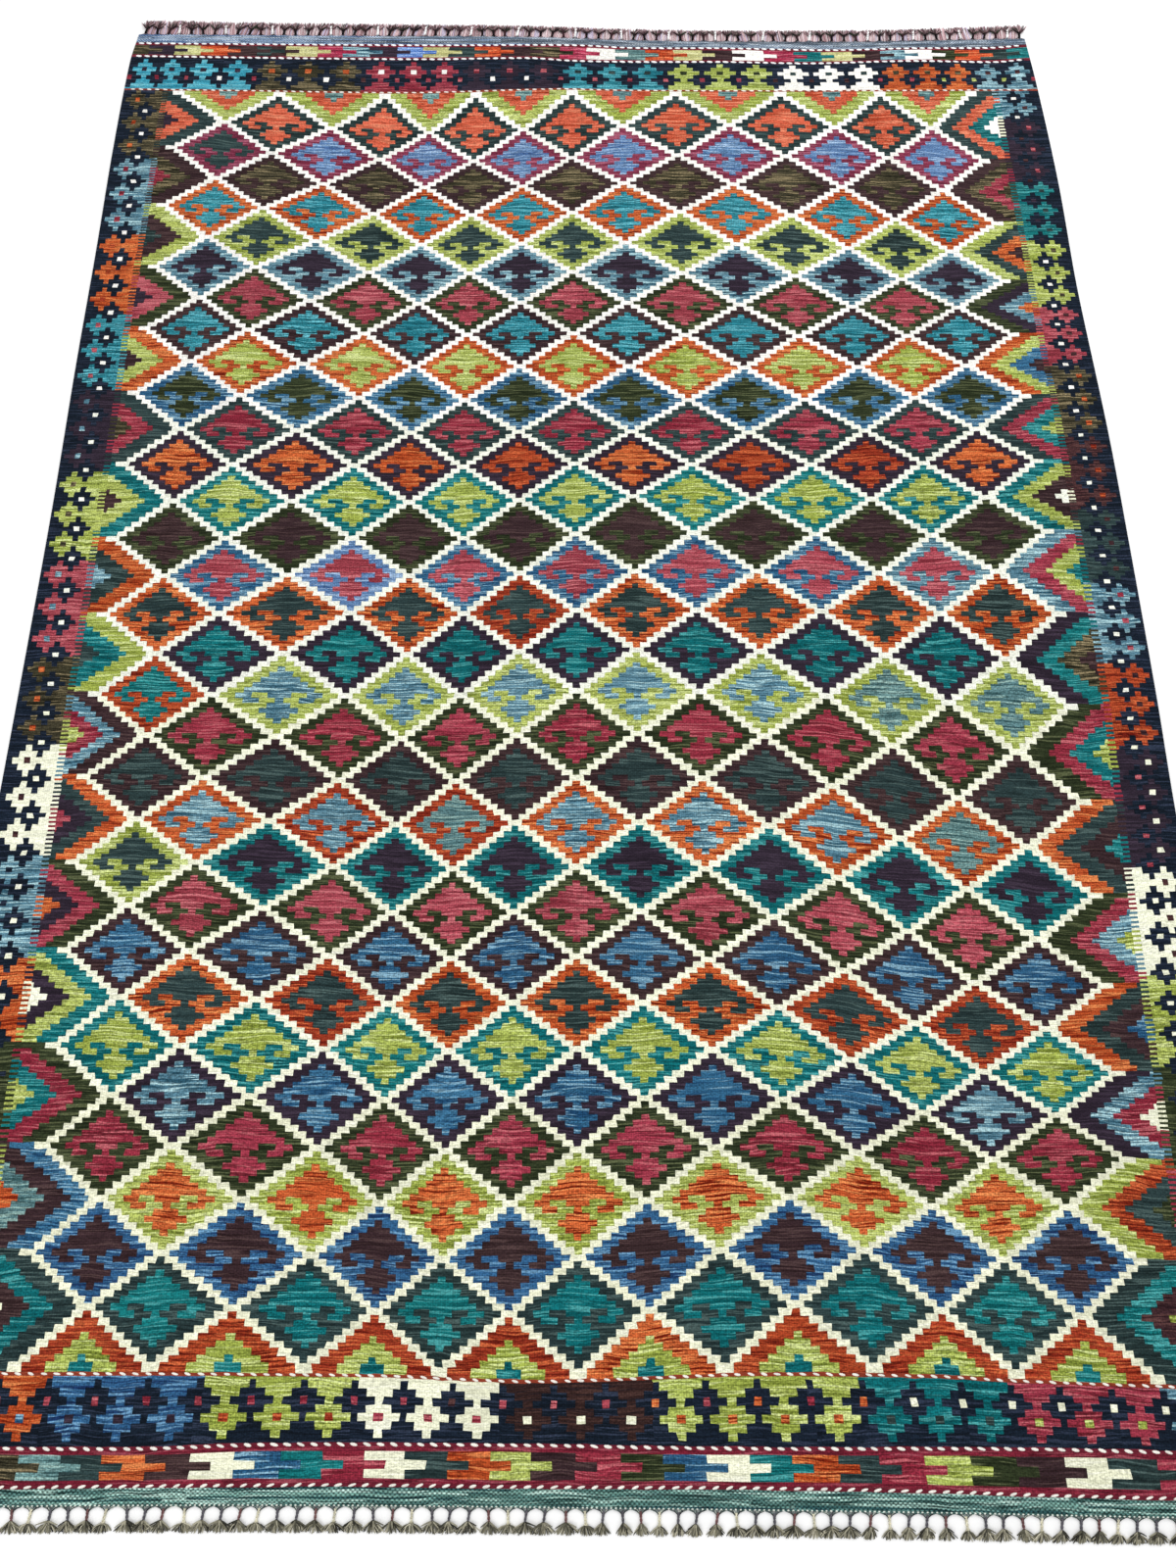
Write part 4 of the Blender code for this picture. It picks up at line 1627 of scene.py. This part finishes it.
def strand_mesh(name: str, strands: list[Strand]) -> bpy.types.Mesh:
    """Makes closed four-sided tubes along strands that have the same number of points each.

    Args:
        name: the mesh's name.
        strands: the yarns.

    Returns:
        The mesh, coloured strand by strand.
    """
    places = np.array([[point for point, _ in strand.points] for strand in strands])
    radii = np.array([[radius for _, radius in strand.points] for strand in strands])[..., None]
    ahead = np.gradient(places, axis=1)
    ahead /= np.linalg.norm(ahead, axis=2, keepdims=True)
    across = np.array([strand.across for strand in strands])[:, None, :]
    side = np.cross(ahead, across)
    side /= np.linalg.norm(side, axis=2, keepdims=True)
    over = np.cross(ahead, side)
    ring = [places + radii * (cos(a) * side + sin(a) * over) for a in (pi / 4 + k * pi / 2 for k in range(4))]
    verts = np.stack(ring, axis=2).reshape(-1, 3)
    last = places.shape[1] - 1
    tube = [[4 * k + a, 4 * k + (a + 1) % 4, 4 * k + 4 + (a + 1) % 4, 4 * k + 4 + a]
            for k in range(last) for a in range(4)]
    tube += [[3, 2, 1, 0], [4 * last + a for a in range(4)]]
    starts = np.arange(len(strands))[:, None, None] * 4 * (last + 1)
    mesh = bpy.data.meshes.new(name)
    mesh.from_pydata(verts, [], (np.array(tube)[None] + starts).reshape(-1, 4).tolist())
    paint_strands(mesh, [strand.colour for strand in strands], len(tube))
    return mesh


STEPS = (0.0, 0.25, 0.5, 0.75, 1.0)  # a strand's five points, as shares of its length


@dataclass
class Fringe:
    """The knotted warps of one end: webs that gather into plied legs, knots and cut tufts."""

    name: str
    outline: Outline
    end: int
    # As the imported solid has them: how its tassels are drawn, and how far out they go.
    seed: int
    lean: float  # in degrees, and how far a tassel strays from it
    stray: float
    knot: float
    widest: float
    tip: float
    spreads: tuple[float, float]
    # What only shows from near by.
    legs: tuple[str, str, str]  # the usual colour, the one left of a pale leg, and the pale one
    pale_legs: tuple[int, ...]  # counted from the left
    tufts: tuple[str, ...]
    web: tuple[str, ...]
    yarns: int  # in a tuft
    arms: tuple[str, ...]  # short dark yarns that fork over the tuft
    arm_count: int
    fill: tuple[str, ...] = ()  # loose warps between two legs
    fill_count: int = 0
    leg_radius: float = 1.05 * MM
    lift: float = 3.0 * MM  # how high the cut yarns lie
    leg_height: float = 1.9 * MM
    pale_reach: float = 0.0  # how much further out the pale legs show
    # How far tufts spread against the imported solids, and how many millimetres longer they are, at each X.
    fullness: Points = (
        (-1015, 1.9), (-40, 1.9), (0, 1.15), (165, 1.15), (190, 1.9), (330, 1.9), (370, 1.4), (1015, 1.5),
    )
    longer: Points = ((-1015, 0), (1015, 0))
    widest_tuft: float = 17 * MM
    web_threads: int = 11
    knot_turns: int = 3
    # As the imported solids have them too.
    tassels: int = 76
    gap: float = 0.0003
    strip: float = 0.004
    clearance: float = 0.0012
    root_stray: float = 0.0016

    def __post_init__(self) -> None:
        """Draws the same roots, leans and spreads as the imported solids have."""
        chance = random.Random(self.seed)
        pitch, stray = 2 / self.tassels, self.root_stray / (self.outline.width / 2)
        self.roots = [-1 + (k + 0.5) * pitch + chance.uniform(-stray, stray) for k in range(self.tassels)]
        self.leans = [tan(radians(self.lean + chance.uniform(-1, 1) * self.stray)) for _ in self.roots]
        wishes = [chance.uniform(*self.spreads) for _ in self.roots]
        tips = [self.place(k, self.widest).x for k in range(self.tassels)]
        rooms = [(right - left - self.clearance) / 2 for left, right in zip(tips, tips[1:])]
        self.widths = [min(wishes[k], *rooms[max(k - 1, 0) : k + 1]) for k in range(self.tassels)]
        self.strands: list[Strand] = []

    def place(self, k: int, run: float, side: float = 0.0, z: float = 0.0) -> Vector:
        """A point of a tassel: so far out along its lean, and so far to its side."""
        base = self.outline.end_point(self.roots[k], self.end)
        outward = self.gap + self.strip + run
        return Vector((base.x + self.leans[k] * run + side, base.y + self.end * outward, z))

    def tuft_tip(self, k: int) -> float:
        """How far out a tassel's tuft goes."""
        return self.tip + smooth_read(self.longer, self.roots[k] * self.outline.width / 2 / MM) * MM

    def add(self, points: list, code: str, chance: random.Random, across: tuple = (0.0, 0.0, 1.0)) -> None:
        """Adds a strand through five points, each with its radius, in a shade of one colour."""
        light = chance.uniform(0.78, 1.18)
        self.strands.append(Strand(tuple(points), tuple(c * light for c in linear_colour(code)), across))

    def add_web(self, k: int, chance: random.Random) -> None:
        """Adds the warps that gather from the cloth's end into a leg, the outer ones in an arch."""
        reach = 0.5 * self.outline.width / self.tassels
        start = -self.strip - self.gap
        for thread in range(self.web_threads):
            share = thread / (self.web_threads // 2) - 1
            arch = 1.5 + 1.9 * abs(share) ** 1.5
            points = []
            for t in STEPS:
                side = share * reach * (1 - t) ** arch + share * 1.1 * MM * t
                points.append((self.place(k, start + t * (self.strip + 7.5 * MM), side, 1.6 * MM), 0.66 * MM))
            self.add(points, chance.choice(self.web), chance)

    def add_leg(self, k: int, chance: random.Random) -> None:
        """Adds a leg of two plies that twist round each other, in three strands each, and its knot."""
        start, knot, thick = -1.0 * MM, self.knot, self.leg_radius
        knot += self.pale_reach if k in self.pale_legs else 0
        code = self.legs[2 if k in self.pale_legs else 1 if k + 1 in self.pale_legs else 0]
        for ply in range(2):
            for part in range(3):
                points = []
                for step in STEPS:
                    t = (part + step) / 3
                    angle = ply * pi + t * 3.4 * pi
                    side, z = thick * 0.9 * cos(angle), self.leg_height + 0.8 * MM * sin(angle)
                    points.append((self.place(k, start + (knot - start) * t, side, z), thick))
                self.add(points, code, chance)
        for turn in range(self.knot_turns):
            points = []
            for t in STEPS:
                angle = pi * t
                run = knot + (turn - 0.8 + 0.5 * cos(angle)) * MM
                side, z = -2.2 * thick * cos(angle), (1.5 + 1.9 * sin(angle)) * MM
                points.append((self.place(k, run, side, z), 1.0 * MM))
            self.add(points, chance.choice((code, *self.tufts[:2])), chance, (0.0, 1.0, 0.0))

    def add_tuft(self, k: int, chance: random.Random) -> None:
        """Adds the cut yarns that spread below the knot like a small broom."""
        x = self.roots[k] * self.outline.width / 2 / MM
        room = self.tuft_tip(k) - self.knot
        width = min((0.5 * self.widths[k] + 5 * MM) * straight_read(self.fullness, x), self.widest_tuft)
        for arm in range(0 if k in self.pale_legs else self.arm_count):
            share = (arm + 0.5) / self.arm_count * 2 - 1 + chance.uniform(-0.15, 0.15)
            length = room * chance.uniform(0.1, 0.5) + 3 * MM
            points = []
            for t in STEPS:
                side, z = share * (1.0 * MM + width * 0.9 * t**0.8), (4.2 + 0.6 * sin(pi * t)) * MM
                points.append((self.place(k, self.knot - 3 * MM + length * t, side, z), (1.5 - 0.6 * t) * MM))
            self.add(points, chance.choice(self.arms), chance)
        for yarn in range(self.yarns):
            share = (yarn + chance.uniform(0.1, 0.9)) / self.yarns * 2 - 1
            length = room * (1 - 0.25 * share**2) * chance.uniform(0.82, 1.05)
            curl, lift = chance.uniform(-4.5, 4.5) * MM, chance.uniform(0.1, 1.0) * self.lift
            points = []
            for t in STEPS:
                side = share * (1.4 * MM + (width - 1.4 * MM) * t**0.5) + curl * t**1.5
                z = 0.8 * MM + lift * (1 - t**2) + chance.uniform(0, 0.4) * MM
                thick = (0.85 if t < 1 else 0.55) * MM
                points.append((self.place(k, self.knot + length * t, side, z), thick))
            self.add(points, chance.choice(self.tufts), chance)

    def add_fill(self, k: int, chance: random.Random) -> None:
        """Adds loose yarns that lie between two legs, from the cloth's end out to the tufts."""
        pitch = self.outline.width / self.tassels
        code = chance.choice(self.fill)
        for yarn in range(self.fill_count):
            side = (yarn + 0.5) / self.fill_count * (pitch - 4 * MM) + 2 * MM
            length = self.tuft_tip(k) * chance.uniform(0.86, 1.0) + self.strip
            curl = chance.uniform(-2, 2) * MM
            points = []
            for t in STEPS:
                points.append((self.place(k, -self.strip + length * t, side + curl * t, 1.1 * MM), 1.1 * MM))
            self.add(points, chance.choice((code, code, *self.fill)), chance)

    def build(self, shift: Vector, material: bpy.types.Material) -> bpy.types.Object:
        """Makes the fringe as one object of round strands.

        Args:
            shift: from the outline's own middle to the frame's origin.
            material: the yarn.

        Returns:
            The object.
        """
        chance = random.Random(self.seed + 100)
        for k in range(self.tassels):
            self.add_web(k, chance)
            self.add_leg(k, chance)
            self.add_tuft(k, chance)
            if self.fill_count and k < self.tassels - 1:
                self.add_fill(k, chance)
        mesh = strand_mesh(self.name, self.strands)
        mesh.transform(Matrix.Translation(shift))
        return new_object(self.name, mesh, material)


def near_fringe(outline: Outline) -> Fringe:
    """The near fringe: olive-grey tufts below slate and mauve legs, with a milky leg after every third."""
    return Fringe(
        "near_tassels", outline, end=-1, seed=11, lean=-4, stray=9, knot=0.0165, widest=0.0262, tip=0.0292,
        spreads=(0.0050, 0.0118),
        legs=("#615f66", "#7b5858", "#dcd7bf"),
        pale_legs=(*range(0, 29, 4), *range(33, 74, 4)),
        tufts=("#8f8b76", "#c0bba6", "#6e6c5d", "#2f2e29", "#9a9683", "#57554a"),
        web=("#5f6a6c", "#8d9b99", "#4b5456", "#c9d2c6", "#6d7f7a"),
        yarns=34,
        arms=("#5f5d50", "#8a8674", "#3b3a33", "#a39f8b"), arm_count=6,
        leg_radius=1.25 * MM,
    )


def far_fringe(outline: Outline) -> Fringe:
    """The far fringe: mauve-brown tufts, dark legs and long white ones, and loose pink warps between them."""
    return Fringe(
        "far_tassels", outline, end=1, seed=23, lean=3, stray=12, knot=0.0160, widest=0.0295, tip=0.0328,
        spreads=(0.0085, 0.0122),
        legs=("#1f181b", "#3d262b", "#ffffff"),
        pale_legs=(3, 7, 11, *range(16, 33, 4), *range(37, 58, 4), *range(62, 75, 4)),
        tufts=("#8d6c72", "#5f484d", "#a98a8f", "#b89ba0", "#4b3a3d", "#7c7470"),
        web=("#332a2e", "#54454a", "#c7aeb3", "#8395ab"),
        yarns=22,
        arms=("#1d181b", "#2c3427", "#3a2629", "#4d3b3f"), arm_count=7,
        fill=("#e0bcc0", "#c9a3a8", "#ead2d6", "#b58a90", "#cfc0da", "#9c7c82"), fill_count=8,
        leg_radius=1.6 * MM, lift=4.4 * MM, leg_height=4.0 * MM, pale_reach=9 * MM,
        fullness=((-1015, 1.6), (1015, 1.6)),
        longer=((-1015, 13), (-700, 8), (-300, 5), (0, 3), (400, 3), (800, 6), (1015, 12)),
    )


# ---- Studio ----


@dataclass(frozen=True)
class Studio:
    """A plain pale floor, soft light from above, and the camera that looks down on the rug."""

    floor_side: float = 14.0
    camera_place: tuple[float, float, float] = (-0.005, -1.163, 1.972)
    camera_pitch: float = 68.17  # degrees below level
    camera_turn: float = -0.45
    lens: float = 28.125
    daylight: float = 0.76
    softbox_side: float = 3.2
    softboxes: tuple[tuple[str, tuple[float, float, float], float], ...] = (  # name, place and power
        ("softbox over the far end", (1.6, 2.6, 3.2), 72),
        ("softbox over the near end", (-1.4, -1.8, 3.4), 38),
    )

    def build(self, shift: Vector) -> bpy.types.Object:
        """Makes the floor, the lights and the camera.

        Args:
            shift: from the rug's own middle to the frame's origin.

        Returns:
            The floor.
        """
        bm = bmesh.new()
        bmesh.ops.create_grid(bm, x_segments=1, y_segments=1, size=self.floor_side / 2)
        bmesh.ops.translate(bm, verts=bm.verts, vec=(0, 0, -0.2 * MM))
        floor = new_object("floor", mesh_from("floor", bm), self.painted_floor())

        world = bpy.data.worlds.new("soft daylight")
        world.use_nodes = True
        sky = world.node_tree.nodes["Background"]
        sky.inputs["Color"].default_value = (1.0, 1.0, 1.0, 1)
        sky.inputs["Strength"].default_value = self.daylight
        bpy.context.scene.world = world
        for name, place, power in self.softboxes:
            self.add_softbox(name, place, power)

        data = bpy.data.cameras.new("camera")
        data.sensor_fit, data.sensor_height, data.lens = "VERTICAL", 36.0, self.lens
        camera = bpy.data.objects.new("camera", data)
        bpy.context.scene.collection.objects.link(camera)
        camera.location = Vector(self.camera_place) + shift
        camera.rotation_euler = (radians(90 - self.camera_pitch), 0, radians(self.camera_turn))
        bpy.context.scene.camera = camera
        bpy.context.scene.view_settings.view_transform = "Standard"
        return floor

    def add_softbox(self, name: str, place: tuple[float, float, float], power: float) -> None:
        """Adds a large square area light that faces the rug's middle."""
        data = bpy.data.lights.new(name, "AREA")
        data.shape, data.size, data.energy = "SQUARE", self.softbox_side, power
        light = bpy.data.objects.new(name, data)
        light.location = place
        light.rotation_euler = (-Vector(place)).to_track_quat("-Z", "Y").to_euler()
        bpy.context.scene.collection.objects.link(light)

    @staticmethod
    def painted_floor() -> bpy.types.Material:
        """White matt floor paint with hardly any grain."""
        material, add = start_material("White matt floor paint")
        grain = add("TexNoise", add("TexCoord").outputs["Object"], Scale=900.0, Detail=1.0)
        tone = add("MapRange", grain, 0.0, 1.0, 0.965, 0.985)
        return set_surface(material, add("CombineColor", tone, tone, tone), roughness=0.9, specular=0.1)


def main() -> None:
    """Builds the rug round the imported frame, and the studio round the rug."""
    logging.basicConfig(level=logging.INFO, format="%(message)s")
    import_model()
    outline = Outline()
    shift = outline.frame_shift()
    log.info("frame shift %s", tuple(round(s / MM, 2) for s in shift))

    floor = Studio().build(shift)
    log.info("studio with its %s", floor.name)
    wool = WovenWool().build()
    cloth = Cloth(Weave(outline), shift)
    half = outline.thickness / 2
    face = cloth.build("rug_face", outline.thickness, half, wool)
    back = cloth.build("rug_back", 0.0, half, wool)
    for layer in (face, back):
        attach(layer, "root")
        log.info("%s: %d faces", layer.name, len(layer.data.polygons))
    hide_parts("rug")

    yarn = PliedYarn("Twined wool cord, two colours").build()
    cords = CordWork(outline).build("twined_cords", shift, yarn)
    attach(cords, "root")
    fringes = (
        (near_fringe(outline), "fringe_near", "near_warps"),
        (far_fringe(outline), "fringe_far", "far_warps"),
    )
    for fringe, node, slot in fringes:
        obj = fringe.build(shift, PliedYarn(f"Raw plied warp yarn, {node}").build())
        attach(obj, "root")
        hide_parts(node)
        log.info("%s: %d faces", obj.name, len(obj.data.polygons))

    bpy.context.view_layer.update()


if __name__ == "__main__":
    main()
